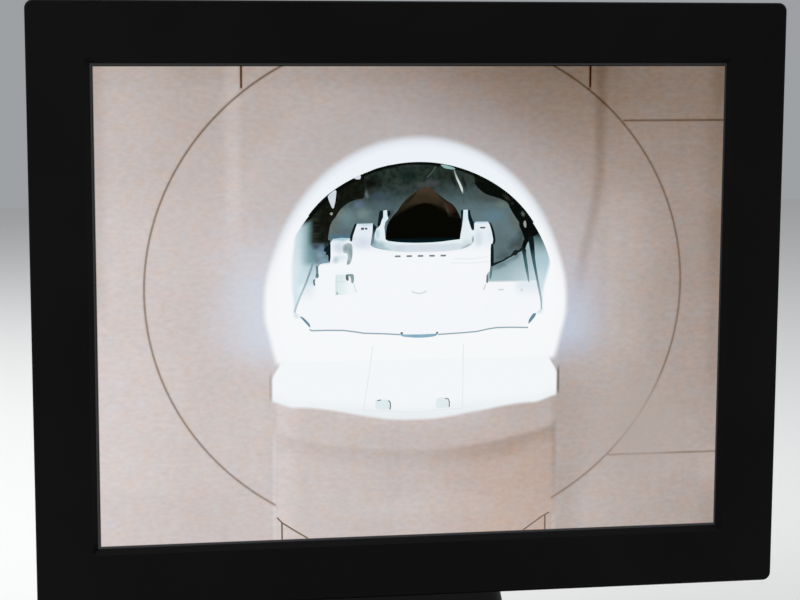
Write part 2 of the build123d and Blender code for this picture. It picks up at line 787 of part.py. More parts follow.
with BuildPart() as dc_jack:
    with BuildSketch(under_board(DC_X, DC_BODY_T / 2, bay_ceiling)):
        Rectangle(DC_BODY_W, DC_BODY_T)
    extrude(amount=SOCKET_L, dir=UP)
    with BuildSketch(under_board(DC_X, DC_BODY_T / 2, bay_ceiling)):
        Circle(DC_R)
    extrude(amount=SIDE_WALL, dir=DOWN)
    with BuildSketch(under_board(DC_X, DC_BODY_T / 2, bay_top)):
        Circle(DC_BORE_R)
        Circle(DC_PIN_R, mode=Mode.SUBTRACT)
    extrude(amount=SOCKET_L, dir=UP, mode=Mode.SUBTRACT)
keep(dc_jack, "dc_jack")

for name, x in (("bnc_input", BNC_IN_X), ("bnc_output", BNC_OUT_X)):
    with BuildPart() as socket:
        with BuildSketch(under_board(x, BNC_BODY / 2, bay_ceiling)):
            Rectangle(BNC_BODY, BNC_BODY)
        extrude(amount=SOCKET_L, dir=UP)
        with BuildSketch(under_board(x, BNC_BODY / 2, bay_ceiling)):
            Circle(BNC_R)
        extrude(amount=SIDE_WALL + BNC_L, dir=DOWN)
        with BuildSketch(under_board(x, BNC_BODY / 2, bay_top - BNC_L)):
            Circle(BNC_R - BNC_WALL)
            Circle(BNC_CORE_R, mode=Mode.SUBTRACT)
        extrude(amount=BNC_L, dir=UP, mode=Mode.SUBTRACT)
        with BuildSketch(Plane.YZ.offset(x - BNC_R - BNC_LUG_PROUD)):
            with Locations((FRONT_Y + board_back + BNC_BODY / 2, SCREEN_Z + bay_top - BNC_L + BNC_LUG_UP)):
                Circle(BNC_LUG_R)
        extrude(amount=BNC_LUG_L)
        mirror(about=Plane.YZ.offset(x), mode=Mode.ADD)
    keep(socket, name)

with BuildPart() as vga_socket:
    with BuildSketch(under_board(VGA_X, VGA_T / 2, bay_ceiling)):
        Rectangle(VGA_W, VGA_T)
    extrude(amount=SOCKET_L, dir=UP)
    with BuildSketch(under_board(VGA_X, VGA_T / 2, bay_ceiling)):
        Trapezoid(VGA_SHELL_W, VGA_SHELL_T, VGA_SLANT)
    extrude(amount=SIDE_WALL + VGA_SHELL_L, dir=DOWN)
    fillet(vga_socket.edges().filter_by(Axis.Z).group_by(Axis.Z)[0], VGA_EDGE_R)
    with BuildSketch(under_board(VGA_X, VGA_T / 2, bay_top - VGA_SHELL_L)):
        for row in (-1, 0, 1):
            with Locations((row * VGA_ROW_SHIFT, row * VGA_ROW_PITCH)):
                with GridLocations(VGA_PIN_PITCH, 0, VGA_PINS, 1):
                    RegularPolygon(VGA_PIN_R, 6)
    extrude(amount=VGA_SHELL_L, dir=UP, mode=Mode.SUBTRACT)
    with BuildSketch(under_board(VGA_X, VGA_T / 2, bay_ceiling)):
        with GridLocations(2 * VGA_NUT_X, 0, 2, 1):
            RegularPolygon(VGA_NUT_R, 6)
    extrude(amount=SIDE_WALL + VGA_NUT_L, dir=DOWN)
    with BuildSketch(under_board(VGA_X, VGA_T / 2, bay_top - VGA_NUT_L)):
        with GridLocations(2 * VGA_NUT_X, 0, 2, 1):
            Circle(VGA_NUT_BORE_R)
    extrude(amount=VGA_NUT_L, dir=UP, mode=Mode.SUBTRACT)
keep(vga_socket, "vga_socket")

# Rear cover: a moulded shell with a shallow shoulder, a deeper middle, a socket bay, rows of slots,
# a lock slot and a narrow groove where it meets the bezel
cover_front = BEZEL_DEPTH
shoulder_in_depth = SHOULDER_DEPTH - COVER_WALL
back_in_depth = BACK_DEPTH - COVER_WALL
side_x = INTAKE_SIDE - BULGE_W / 2
intake_up = INTAKE_EDGE + INTAKE_H / 2 + COVER_WALL + BULGE_TAPER - BULGE_DROP - BULGE_H / 2
with BuildPart() as cavity:
    with BuildSketch(facing(cover_front)):
        RectangleRounded(HEAD_W - 2 * COVER_WALL, HEAD_H - 2 * COVER_WALL, OUTER_R - COVER_WALL)
    with BuildSketch(facing(shoulder_in_depth)):
        inset = 2 * (COVER_WALL + SHOULDER_IN)
        RectangleRounded(HEAD_W - inset, HEAD_H - inset, OUTER_R - COVER_WALL)
    loft()
    with BuildSketch(facing(shoulder_in_depth, up=-BULGE_DROP)):
        RectangleRounded(BULGE_W - 2 * COVER_WALL, BULGE_H - 2 * COVER_WALL, BULGE_R - COVER_WALL)
    with BuildSketch(facing(back_in_depth, up=-BULGE_DROP)):
        inset = 2 * (COVER_WALL + BULGE_TAPER)
        RectangleRounded(BULGE_W - inset, BULGE_H - inset, BULGE_R - COVER_WALL)
    loft()
    with BuildSketch(facing(BAY_FRONT - COVER_WALL, BAY_X, bay_ceiling)):
        Rectangle(BAY_W + 2 * COVER_WALL, BULGE_H, align=(Align.CENTER, Align.MAX))
    extrude(amount=BACK_DEPTH, dir=BACK, mode=Mode.SUBTRACT)

with BuildPart() as rear_cover:
    with BuildSketch(facing(cover_front)):
        RectangleRounded(HEAD_W, HEAD_H, OUTER_R)
    with BuildSketch(facing(SHOULDER_DEPTH)):
        RectangleRounded(HEAD_W - 2 * SHOULDER_IN, HEAD_H - 2 * SHOULDER_IN, OUTER_R)
    loft()
    with BuildSketch(facing(SHOULDER_DEPTH, up=-BULGE_DROP)):
        RectangleRounded(BULGE_W, BULGE_H, BULGE_R)
    with BuildSketch(facing(BACK_DEPTH, up=-BULGE_DROP)):
        RectangleRounded(BULGE_W - 2 * BULGE_TAPER, BULGE_H - 2 * BULGE_TAPER, BULGE_R)
    loft()
    with BuildSketch(facing(BAY_FRONT, BAY_X, bay_top)):
        Rectangle(BAY_W, BULGE_H, align=(Align.CENTER, Align.MAX))
    extrude(amount=BACK_DEPTH, dir=BACK, mode=Mode.SUBTRACT)
    add(cavity.part, mode=Mode.SUBTRACT)
    with BuildSketch(facing(chassis_back)):
        with GridLocations(2 * boss_x, 2 * boss_up, 2, 2):
            Circle(TUBE_R)
    extrude(amount=SHOULDER_DEPTH - chassis_back, dir=BACK)
    with BuildSketch(facing(back_in_depth, up=-VESA_DROP)):
        for pitch in (VESA_FREE, VESA_USED):
            with GridLocations(pitch, pitch, 2, 2):
                Rectangle(2 * INSERT_BOSS_R, 2 * INSERT_BOSS_R)
    extrude(amount=INSERT_L, dir=FORWARD)
    with BuildSketch(facing(BACK_DEPTH, up=-VESA_DROP)):
        for pitch in (VESA_FREE, VESA_USED):
            with GridLocations(pitch, pitch, 2, 2):
                RegularPolygon(INSERT_R + SCREW_PLAY, 6)
    extrude(amount=INSERT_L, dir=FORWARD, mode=Mode.SUBTRACT)
    with BuildSketch(facing(SHOULDER_DEPTH)):
        with GridLocations(2 * boss_x, 2 * boss_up, 2, 2):
            Circle(M3_R + HOLE_PLAY)
    extrude(amount=SHOULDER_DEPTH - cover_front, dir=FORWARD, mode=Mode.SUBTRACT)
    with BuildSketch(facing(SHOULDER_DEPTH)):
        with GridLocations(2 * boss_x, 2 * boss_up, 2, 2):
            Circle(SMALL_HEAD_R + HOLE_PLAY)
    extrude(amount=SMALL_HEAD_H + HOLE_PLAY, dir=FORWARD, mode=Mode.SUBTRACT)
    with BuildSketch(facing(BACK_DEPTH, up=VENT_UP)):
        with GridLocations(VENT_PITCH, 1, VENT_COUNT, 1):
            Rectangle(VENT_W, VENT_H)
    extrude(amount=COVER_WALL, dir=FORWARD, mode=Mode.SUBTRACT)
    with BuildSketch(facing(BACK_DEPTH, side_x, intake_up)):
        with GridLocations(VENT_PITCH, 1, INTAKE_COUNT, 1):
            Rectangle(VENT_W, INTAKE_H)
    extrude(amount=COVER_WALL, dir=FORWARD, mode=Mode.SUBTRACT)
    with BuildSketch(facing(BACK_DEPTH, BULGE_W / 2 - LOCK_SIDE, LOCK_UP)):
        Rectangle(LOCK_W, LOCK_H)
    extrude(amount=COVER_WALL, dir=FORWARD, mode=Mode.SUBTRACT)
    with BuildSketch(facing(cover_front)):
        RectangleRounded(HEAD_W, HEAD_H, OUTER_R)
        RectangleRounded(HEAD_W - 2 * GROOVE, HEAD_H - 2 * GROOVE, OUTER_R - GROOVE, mode=Mode.SUBTRACT)
    extrude(amount=GROOVE, dir=BACK, mode=Mode.SUBTRACT)
    with BuildSketch(under_board(DC_X, DC_BODY_T / 2, bay_top)):
        Circle(DC_R + FIT)
    extrude(amount=COVER_WALL, dir=UP, mode=Mode.SUBTRACT)
    for x in (BNC_IN_X, BNC_OUT_X):
        with BuildSketch(under_board(x, BNC_BODY / 2, bay_top)):
            Circle(BNC_R + FIT)
        extrude(amount=COVER_WALL, dir=UP, mode=Mode.SUBTRACT)
    with BuildSketch(under_board(VGA_X, VGA_T / 2, bay_top)):
        Rectangle(VGA_SHELL_W + 2 * FIT, VGA_SHELL_T + 2 * FIT)
        with GridLocations(2 * VGA_NUT_X, 0, 2, 1):
            Circle(VGA_NUT_R + FIT)
    extrude(amount=COVER_WALL, dir=UP, mode=Mode.SUBTRACT)
keep(rear_cover, "rear_cover")

# Threaded brass inserts, flush with the back: one set takes the stand, the other is free
with BuildPart() as vesa_inserts:
    with BuildSketch(facing(BACK_DEPTH, up=-VESA_DROP)):
        for pitch in (VESA_FREE, VESA_USED):
            with GridLocations(pitch, pitch, 2, 2):
                RegularPolygon(INSERT_R, 6)
                Circle(M4_R, mode=Mode.SUBTRACT)
    extrude(amount=INSERT_L, dir=FORWARD)
keep(vesa_inserts, "vesa_inserts")

# Cover screws, sunk in the shoulder, through the chassis plate into the bezel's bosses
cover_head = SHOULDER_DEPTH - SMALL_HEAD_H - HOLE_PLAY
with BuildPart() as cover_screws:
    for x, up in corners(2 * boss_x, 2 * boss_up):
        seat = backing(cover_head, x, up)
        add(screw(seat, M3_R, COVER_SCREW_L, SMALL_HEAD_R, SMALL_HEAD_H))
keep(cover_screws, "cover_screws")

# Keys: each has a cap that passes through the bezel, a collar that rests on the wall and a stem
for number, name in enumerate(("source_key", "down_key", "up_key", "menu_key", "power_key")):
    x = KEY_FIRST_X + number * KEY_PITCH
    with BuildPart() as key:
        with BuildSketch(Plane.XY.offset(wall_in)):
            with Locations((x, key_y)):
                Rectangle(KEY_W, KEY_D)
        extrude(amount=SIDE_WALL + KEY_PROUD, dir=DOWN)
        fillet(key.edges().group_by(Axis.Z)[0], KEY_EDGE_R)
        with BuildSketch(Plane.XY.offset(wall_in)):
            with Locations((x, key_y)):
                Rectangle(KEY_W + 2 * COLLAR_LAP, KEY_D + 2 * COLLAR_LAP)
        extrude(amount=COLLAR_H)
        with BuildSketch(Plane.XY.offset(wall_in + COLLAR_H)):
            with Locations((x, key_y)):
                Rectangle(STEM, STEM)
        extrude(amount=STEM_H)
    keep(key, name)

# Key board on two bezel posts, with a switch over each stem
with BuildPart() as key_board:
    with BuildSketch(Plane.XY.offset(key_board_z)):
        with Locations(((KEY_FIRST_X + last_x) / 2, key_y)):
            Rectangle(last_x - KEY_FIRST_X + 2 * KEY_BOARD_END, KEY_BOARD_D)
    extrude(amount=BOARD_T)
    with BuildSketch(Plane.XY.offset(switch_z)):
        for number in range(KEY_COUNT):
            with Locations((KEY_FIRST_X + number * KEY_PITCH, key_y)):
                Rectangle(SWITCH_W, SWITCH_W)
    extrude(amount=SWITCH_H)
keep(key_board, "key_board")

# Key cable: up from the key board, through the chassis plate and onto the main board
key_rise = key_board_z + BOARD_T + half_ribbon - SCREEN_Z
with BuildPart() as key_cable:
    path = ((KEY_DEPTH + KEY_CABLE_LEAD, key_rise), (KEY_CABLE_DEPTH, key_rise), (KEY_CABLE_DEPTH, under),
            (on_board, under), (on_board, board_foot + RIBBON_LAP))
    add(ribbon(path, KEY_CABLE_X, KEY_CABLE_W))
keep(key_cable, "key_cable")

# Tilt bracket: a steel plate on the 75 mm inserts, with a folded yoke welded to it
back_y = FRONT_Y + BACK_DEPTH
hinge_y = back_y + HINGE_BACK
hinge_z = SCREEN_Z - HINGE_DROP
ear_in = NECK_FRAME_HALF + WASHER_T
ear_out = ear_in + EAR_T
web_y = back_y + PLATE_T
with BuildPart() as tilt_bracket:
    with BuildSketch(backing(BACK_DEPTH, up=-VESA_DROP)):
        RectangleRounded(PLATE_W, PLATE_W, OUTER_R)
        with GridLocations(VESA_USED, VESA_USED, 2, 2):
            Circle(M4_R + HOLE_PLAY, mode=Mode.SUBTRACT)
    extrude(amount=PLATE_T)
    with BuildSketch(Plane.YZ.offset(-ear_out)):
        with Locations((hinge_y, hinge_z)):
            Circle(EAR_R)
        with Locations((web_y, hinge_z - YOKE_FOOT)):
            Rectangle(EAR_T, YOKE_TOP + YOKE_FOOT, align=(Align.MIN, Align.MIN))
        make_hull()
    extrude(amount=2 * ear_out)
    with BuildSketch(Plane.YZ.offset(-ear_in)):
        with Locations((web_y + EAR_T, hinge_z)):
            Rectangle(HINGE_BACK + EAR_R, HEAD_H, align=(Align.MIN, Align.CENTER))
    extrude(amount=2 * ear_in, mode=Mode.SUBTRACT)
    with BuildSketch(Plane.YZ.offset(-ear_out)):
        with Locations((hinge_y, hinge_z)):
            Circle(PIN_R + SNUG_GAP)
    extrude(amount=2 * ear_out, mode=Mode.SUBTRACT)
keep(tilt_bracket, "tilt_bracket")

# Stand screws, through the bracket into the inserts
with BuildPart() as tilt_screws:
    for x, up in corners(VESA_USED, VESA_USED):
        seat = backing(BACK_DEPTH + PLATE_T, x, up - VESA_DROP)
        add(screw(seat, M4_R - SCREW_PLAY, TILT_SCREW_L, M4_HEAD_R, M4_HEAD_H))
keep(tilt_screws, "tilt_screws")

# Hinge pin with its nut, and a friction washer on each side of the neck's frame
with BuildPart() as hinge_pin:
    with BuildSketch(Plane.YZ.offset(-ear_out)):
        with Locations((hinge_y, hinge_z)):
            Circle(PIN_HEAD_R)
    extrude(amount=-PIN_HEAD_T)
    with BuildSketch(Plane.YZ.offset(-ear_out)):
        with Locations((hinge_y, hinge_z)):
            Circle(PIN_R)
    extrude(amount=2 * ear_out + NUT_T + PIN_END)
keep(hinge_pin, "hinge_pin")

with BuildPart() as pin_nut:
    with BuildSketch(Plane.YZ.offset(ear_out)):
        with Locations((hinge_y, hinge_z)):
            RegularPolygon(NUT_R, 6)
            Circle(PIN_R + SNUG_GAP, mode=Mode.SUBTRACT)
    extrude(amount=NUT_T)
keep(pin_nut, "pin_nut")

with BuildPart() as friction_washers:
    for x in (-ear_in, NECK_FRAME_HALF):
        with BuildSketch(Plane.YZ.offset(x)):
            with Locations((hinge_y, hinge_z)):
                Circle(NECK_EAR_R)
                Circle(PIN_R + RUN_GAP, mode=Mode.SUBTRACT)
        extrude(amount=WASHER_T)
keep(friction_washers, "friction_washers")

# Foot plate: a steel disc that turns on the base, with an arc slot round the stop pin
weight_top = FEET_T + WEIGHT_T
foot_plate_z = weight_top + RING_T
foot_plate_top = foot_plate_z + FOOT_PLATE_T
with BuildPart() as foot_plate:
    with BuildSketch(Plane.XY.offset(foot_plate_z)):
        with Locations((0, SWIVEL_Y)):
            Circle(FOOT_PLATE_R)
            Circle(BOLT_R + RUN_GAP, mode=Mode.SUBTRACT)
            travel = CenterArc((0, 0), STOP_AT, -90 - SWIVEL_LIMIT, 2 * SWIVEL_LIMIT)
            SlotArc(travel, 2 * (STOP_R + FIT), mode=Mode.SUBTRACT)
        with Locations((0, FOOT_SCREW_BACK)):
            with GridLocations(FOOT_SCREW_X, FOOT_SCREW_Y, 2, 2):
                Circle(M4_R, mode=Mode.SUBTRACT)
    extrude(amount=FOOT_PLATE_T)
keep(foot_plate, "foot_plate")

# Neck frame: a folded steel channel, open at the back, with a hinge ear on each side
frame_front = hinge_y - NECK_EAR_R
neck_front = frame_front - NECK_FRAME_GAP - NECK_WALL
frame_back = frame_front + FRAME_DEEP
with BuildPart() as neck_frame:
    with BuildSketch(Plane.YZ.offset(-NECK_FRAME_HALF)):
        with BuildLine():
            sides = Polyline(
                (frame_front, hinge_z), (frame_front, foot_plate_top), (frame_back, foot_plate_top),
                (frame_back, hinge_z - EAR_RISE), (hinge_y + NECK_EAR_R, hinge_z),
            )
            ThreePointArc(sides @ 1, (hinge_y, hinge_z + NECK_EAR_R), sides @ 0)
        make_face()
    extrude(amount=2 * NECK_FRAME_HALF)
    inside = 2 * (NECK_FRAME_HALF - FRAME_T)
    with BuildSketch(Plane.XY.offset(foot_plate_top + FRAME_T)):
        with Locations((0, frame_front + FRAME_T)):
            Rectangle(inside, 2 * FRAME_DEEP, align=(Align.CENTER, Align.MIN))
    extrude(amount=hinge_z, mode=Mode.SUBTRACT)
    with BuildSketch(Plane.XY.offset(hinge_z - EAR_R - YOKE_FOOT)):
        Rectangle(inside, NECK_DEPTH_BOTTOM)
    extrude(amount=hinge_z, mode=Mode.SUBTRACT)
    with BuildSketch(Plane.XY.offset(foot_plate_top)):
        with Locations((0, SWIVEL_Y)):
            Circle(NUT_HOLE_R)
        with Locations((0, FOOT_SCREW_BACK)):
            with GridLocations(FOOT_SCREW_X, FOOT_SCREW_Y, 2, 2):
                Circle(M4_R + HOLE_PLAY)
    extrude(amount=FRAME_T, mode=Mode.SUBTRACT)
    with BuildSketch(Plane.YZ.offset(-NECK_FRAME_HALF)):
        with Locations((hinge_y, hinge_z)):
            Circle(PIN_R + RUN_GAP)
    extrude(amount=2 * NECK_FRAME_HALF, mode=Mode.SUBTRACT)
keep(neck_frame, "neck_frame")

with BuildPart() as foot_screws:
    for x, y in corners(FOOT_SCREW_X, FOOT_SCREW_Y):
        seat = Plane(origin=(x, y + FOOT_SCREW_BACK, foot_plate_top + FRAME_T))
        add(screw(seat, M4_R - SCREW_PLAY, FRAME_T + FOOT_PLATE_T, M4_HEAD_R, M4_HEAD_H))
keep(foot_screws, "foot_screws")

# Neck covers: two moulded halves that taper upwards and meet behind the frame's front web. The rear
# one has an oval hole for the cords.
neck_base_z = BASE_H + NECK_LIFT
middle_top = neck_front + NECK_DEPTH_TOP / 2
split_y = middle_top
neck_loft_low = (2 * NECK_HALF_BOTTOM, NECK_DEPTH_BOTTOM)
neck_loft_high = (2 * NECK_HALF_TOP, NECK_DEPTH_TOP)


def neck_loft(inset, top_z):
    """The neck's tapered form, drawn in by a wall on each side."""
    with BuildPart() as form:
        with BuildSketch(Plane.XY.offset(neck_base_z)):
            with Locations((0, SWIVEL_Y)):
                wide, deep = neck_loft_low
                RectangleRounded(wide - 2 * inset, deep - 2 * inset, NECK_R - inset)
        with BuildSketch(Plane.XY.offset(top_z)):
            with Locations((0, middle_top)):
                wide, deep = neck_loft_high
                RectangleRounded(wide - 2 * inset, deep - 2 * inset, NECK_R - inset)
        loft()
    return form.part


with BuildPart() as neck_shell:
    add(neck_loft(0, NECK_TOP_Z))
    add(neck_loft(NECK_WALL, NECK_TOP_Z - NECK_WALL), mode=Mode.SUBTRACT)
    with BuildSketch(Plane.XY.offset(NECK_TOP_Z - NECK_WALL)):
        with Locations((0, frame_front - FIT)):
            hole_w = 2 * (NECK_FRAME_HALF + FIT)
            Rectangle(hole_w, FRAME_DEEP, align=(Align.CENTER, Align.MIN))
    extrude(amount=NECK_WALL, mode=Mode.SUBTRACT)
    for z in (PAD_LOW, PAD_HIGH):
        with BuildSketch(Plane.XZ.offset(-frame_front)):
            with Locations((0, z)):
                Rectangle(PAD_W, PAD_H)
        extrude(amount=NECK_DEPTH_BOTTOM)
    with BuildSketch(Plane.XZ.offset(-split_y)):
        with Locations((0, CORD_HOLE_Z)):
            SlotOverall(CORD_HOLE_W, CORD_HOLE_H)
    extrude(amount=-NECK_DEPTH_BOTTOM, mode=Mode.SUBTRACT)
    add(neck_loft(0, NECK_TOP_Z), mode=Mode.INTERSECT)

with BuildPart() as neck_front_cover:
    add(neck_shell.part)
    split(bisect_by=Plane.XZ.offset(-split_y), keep=Keep.TOP)
keep(neck_front_cover, "neck_front_cover")

with BuildPart() as neck_rear_cover:
    add(neck_shell.part)
    split(bisect_by=Plane.XZ.offset(-split_y), keep=Keep.BOTTOM)
keep(neck_rear_cover, "neck_rear_cover")

# Swivel: a nylon ring between the foot plate and the base weight, a bolt, a flanged nut and a pin
bolt_seat = FEET_T + SINK_H
bolt_top = foot_plate_top + NUT_FLANGE_T + NUT_TALL + BOLT_END
with BuildPart() as swivel_ring:
    with BuildSketch(Plane.XY.offset(weight_top)):
        with Locations((0, SWIVEL_Y)):
            Circle(RING_R)
            Circle(RING_BORE, mode=Mode.SUBTRACT)
    extrude(amount=RING_T)
keep(swivel_ring, "swivel_ring")

with BuildPart() as swivel_bolt:
    with BuildSketch(Plane.XY.offset(bolt_seat)):
        with Locations((0, SWIVEL_Y)):
            Circle(BOLT_HEAD_R)
    extrude(amount=-BOLT_HEAD_T)
    with BuildSketch(Plane.XY.offset(bolt_seat)):
        with Locations((0, SWIVEL_Y)):
            Circle(BOLT_R)
    extrude(amount=bolt_top - bolt_seat)
keep(swivel_bolt, "swivel_bolt")

with BuildPart() as swivel_nut:
    with BuildSketch(Plane.XY.offset(foot_plate_top)):
        with Locations((0, SWIVEL_Y)):
            Circle(NUT_FLANGE_R)
    extrude(amount=NUT_FLANGE_T)
    with BuildSketch(Plane.XY.offset(foot_plate_top + NUT_FLANGE_T)):
        with Locations((0, SWIVEL_Y)):
            RegularPolygon(NUT_R, 6)
    extrude(amount=NUT_TALL)
    with BuildSketch(Plane.XY.offset(foot_plate_top)):
        with Locations((0, SWIVEL_Y)):
            Circle(BOLT_R + SNUG_GAP)
    extrude(amount=NUT_FLANGE_T + NUT_TALL, mode=Mode.SUBTRACT)
keep(swivel_nut, "swivel_nut")

stop_y = SWIVEL_Y - STOP_AT
with BuildPart() as stop_pin:
    with BuildSketch(Plane.XY.offset(weight_top - STOP_SEAT)):
        with Locations((0, stop_y)):
            Circle(STOP_R)
    extrude(amount=STOP_SEAT + RING_T + FOOT_PLATE_T)
keep(stop_pin, "stop_pin")

# Base weight: a thick steel plate inside the base cover
weight_in = BASE_WALL + WEIGHT_GAP
with BuildPart() as base_weight:
    with BuildSketch(Plane.XY.offset(FEET_T)):
        RectangleRounded(BASE_W - 2 * weight_in, BASE_D - 2 * weight_in, BASE_R - weight_in)
        with Locations((0, SWIVEL_Y)):
            Circle(BOLT_R + SNUG_GAP, mode=Mode.SUBTRACT)
        with GridLocations(BASE_SCREW_X, BASE_SCREW_Y, 2, 2):
            Circle(M3_R + HOLE_PLAY, mode=Mode.SUBTRACT)
    extrude(amount=WEIGHT_T)
    with BuildSketch(Plane.XY.offset(FEET_T)):
        with Locations((0, SWIVEL_Y)):
            Circle(SINK_R)
    extrude(amount=SINK_H, mode=Mode.SUBTRACT)
    with BuildSketch(Plane.XY.offset(FEET_T)):
        with GridLocations(BASE_SCREW_X, BASE_SCREW_Y, 2, 2):
            Circle(SMALL_HEAD_R + HOLE_PLAY)
    extrude(amount=BASE_SCREW_SINK, mode=Mode.SUBTRACT)
    with BuildSketch(Plane.XY.offset(weight_top - STOP_SEAT)):
        with Locations((0, stop_y)):
            Circle(STOP_R + SNUG_GAP)
    extrude(amount=STOP_SEAT, mode=Mode.SUBTRACT)
keep(base_weight, "base_weight")

# Base cover: a low moulded shell with a round opening for the neck and four bosses
ceiling = BASE_H - BASE_WALL
with BuildPart() as base_cover:
    with BuildSketch(Plane.XY.offset(SKIRT_LIFT)):
        RectangleRounded(BASE_W, BASE_D, BASE_R)
    extrude(amount=BASE_H - SKIRT_LIFT)
    fillet(base_cover.edges().group_by(Axis.Z)[-1], TOP_EDGE_R)
    with BuildSketch(Plane.XY.offset(SKIRT_LIFT)):
        RectangleRounded(BASE_W - 2 * BASE_WALL, BASE_D - 2 * BASE_WALL, BASE_R - BASE_WALL)
    extrude(amount=ceiling - SKIRT_LIFT, mode=Mode.SUBTRACT)
    with BuildSketch(Plane.XY.offset(ceiling)):
        with Locations((0, SWIVEL_Y)):
            Circle(OPENING_R)
    extrude(amount=BASE_WALL, mode=Mode.SUBTRACT)
    with BuildSketch(Plane.XY.offset(weight_top)):
        with GridLocations(BASE_SCREW_X, BASE_SCREW_Y, 2, 2):
            Circle(BASE_BOSS_R)
    extrude(amount=ceiling - weight_top)
    with BuildSketch(Plane.XY.offset(weight_top)):
        with GridLocations(BASE_SCREW_X, BASE_SCREW_Y, 2, 2):
            Circle(M3_R + SCREW_PLAY)
    extrude(amount=ceiling - weight_top, mode=Mode.SUBTRACT)
keep(base_cover, "base_cover")

# Base screws, sunk in the weight's underside, and the four rubber feet
with BuildPart() as base_screws:
    for x, y in corners(BASE_SCREW_X, BASE_SCREW_Y):
        seat = Plane(origin=(x, y, FEET_T + BASE_SCREW_SINK), x_dir=(1, 0, 0), z_dir=DOWN)
        add(screw(seat, M3_R, BASE_SCREW_L, SMALL_HEAD_R, SMALL_HEAD_H))
keep(base_screws, "base_screws")

with BuildPart() as rubber_feet:
    with BuildSketch():
        with GridLocations(BASE_W - 2 * FOOT_IN, BASE_D - 2 * FOOT_IN, 2, 2):
            Circle(FOOT_R)
    extrude(amount=FEET_T)
keep(rubber_feet, "rubber_feet")
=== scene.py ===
import math
from functools import partialmethod

import bpy
import numpy as np
from mathutils import Matrix, Vector


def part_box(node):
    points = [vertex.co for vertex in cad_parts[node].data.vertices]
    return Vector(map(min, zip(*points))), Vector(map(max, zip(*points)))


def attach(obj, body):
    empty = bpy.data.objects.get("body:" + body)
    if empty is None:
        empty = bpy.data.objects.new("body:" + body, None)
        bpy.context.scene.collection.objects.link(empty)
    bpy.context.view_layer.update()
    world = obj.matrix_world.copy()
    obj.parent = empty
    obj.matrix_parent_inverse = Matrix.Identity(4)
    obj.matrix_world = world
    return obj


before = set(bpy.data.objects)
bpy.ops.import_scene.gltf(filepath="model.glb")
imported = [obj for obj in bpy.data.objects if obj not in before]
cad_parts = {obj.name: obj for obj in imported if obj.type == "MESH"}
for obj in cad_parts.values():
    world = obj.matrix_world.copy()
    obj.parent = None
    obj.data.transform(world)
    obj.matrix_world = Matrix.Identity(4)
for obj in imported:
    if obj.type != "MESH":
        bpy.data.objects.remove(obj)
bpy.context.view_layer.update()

# Camera, floor and lamps.
# The camera stands where the photograph was taken from, a little to the left of the screen and
# above it. The floor is a plain pale sheet, and four soft lamps and a pale surround light it.
MM = 0.001
print_low, print_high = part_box("picture_cover")
glass_y = print_low[1]
mid_x = (print_low[0] + print_high[0]) / 2
mid_z = (print_low[2] + print_high[2]) / 2
EYE = Vector((-0.1661, -0.9381, 0.1347))
LOOK = Vector((0.1650, 0.9766, -0.1381))
ROLL = math.radians(0.19)
LENS = 90.0
SENSOR = 36.0
PALE = (0.80, 0.80, 0.79)
SURROUND = (0.62, 0.64, 0.67)
LAMP_AIM = (0, 0, 0.2)


def look_along(direction, roll):
    """A rotation whose -Z runs along the direction and whose +Y is up, then rolled about it."""
    return direction.to_track_quat("-Z", "Y").to_matrix().to_4x4() @ Matrix.Rotation(roll, 4, "Z")


def soft_lamp(name, place, side, power):
    """A square area lamp at a place, turned towards the middle of the part."""
    data = bpy.data.lights.new(name, "AREA")
    data.shape = "RECTANGLE"
    data.size = side
    data.size_y = side
    data.energy = power
    lamp = bpy.data.objects.new(name, data)
    bpy.context.collection.objects.link(lamp)
    direction = Vector(LAMP_AIM) - Vector(place)
    lamp.matrix_world = Matrix.Translation(place) @ look_along(direction, 0.0)


def fill(socket, value):
    """Sets an input to a number or to a colour of three numbers, or links an output to it."""
    if isinstance(value, bpy.types.NodeSocket):
        socket.id_data.links.new(value, socket)
    else:
        socket.default_value = (*value, 1.0) if socket.type == "RGBA" else value


def filled(node, **values):
    """A node with inputs filled, by their titles with an underscore for a space."""
    for title, value in values.items():
        fill(node.inputs[title.replace("_", " ")], value)
    return node


def plain_material(name):
    """A new node material, with its node list and its shader."""
    material = bpy.data.materials.new(name)
    material.use_nodes = True
    nodes = material.node_tree.nodes
    return material, nodes, nodes["Principled BSDF"]


def flat_mesh(name, points, faces):
    """A mesh object from points in metres, at the origin and unturned."""
    mesh = bpy.data.meshes.new(name)
    mesh.from_pydata(points, [], faces)
    mesh.update()
    thing = bpy.data.objects.new(name, mesh)
    bpy.context.collection.objects.link(thing)
    return thing


camera_data = bpy.data.cameras.new("photo_camera")
camera_data.lens = LENS
camera_data.sensor_width = SENSOR
camera_data.clip_start = 0.01
camera = bpy.data.objects.new("photo_camera", camera_data)
bpy.context.collection.objects.link(camera)
eye = Vector((mid_x, glass_y, mid_z)) + EYE
camera.matrix_world = Matrix.Translation(eye) @ look_along(LOOK, ROLL)
scene = bpy.context.scene
scene.camera = camera
scene.view_settings.view_transform = "Standard"
scene.view_settings.look = "None"

REACH = 3.0
floor_points = [(REACH * x, REACH * y, 0) for x, y in ((-1, -1), (1, -1), (1, 1), (-1, 1))]
floor = flat_mesh("floor", floor_points, [(0, 1, 2, 3)])
floor_material, nodes, shader = plain_material("pale_floor")
filled(shader, Base_Color=PALE, Roughness=0.7)
floor.data.materials.append(floor_material)

world = bpy.data.worlds.new("surround")
world.use_nodes = True
filled(world.node_tree.nodes["Background"], Color=SURROUND, Strength=0.55)
scene.world = world
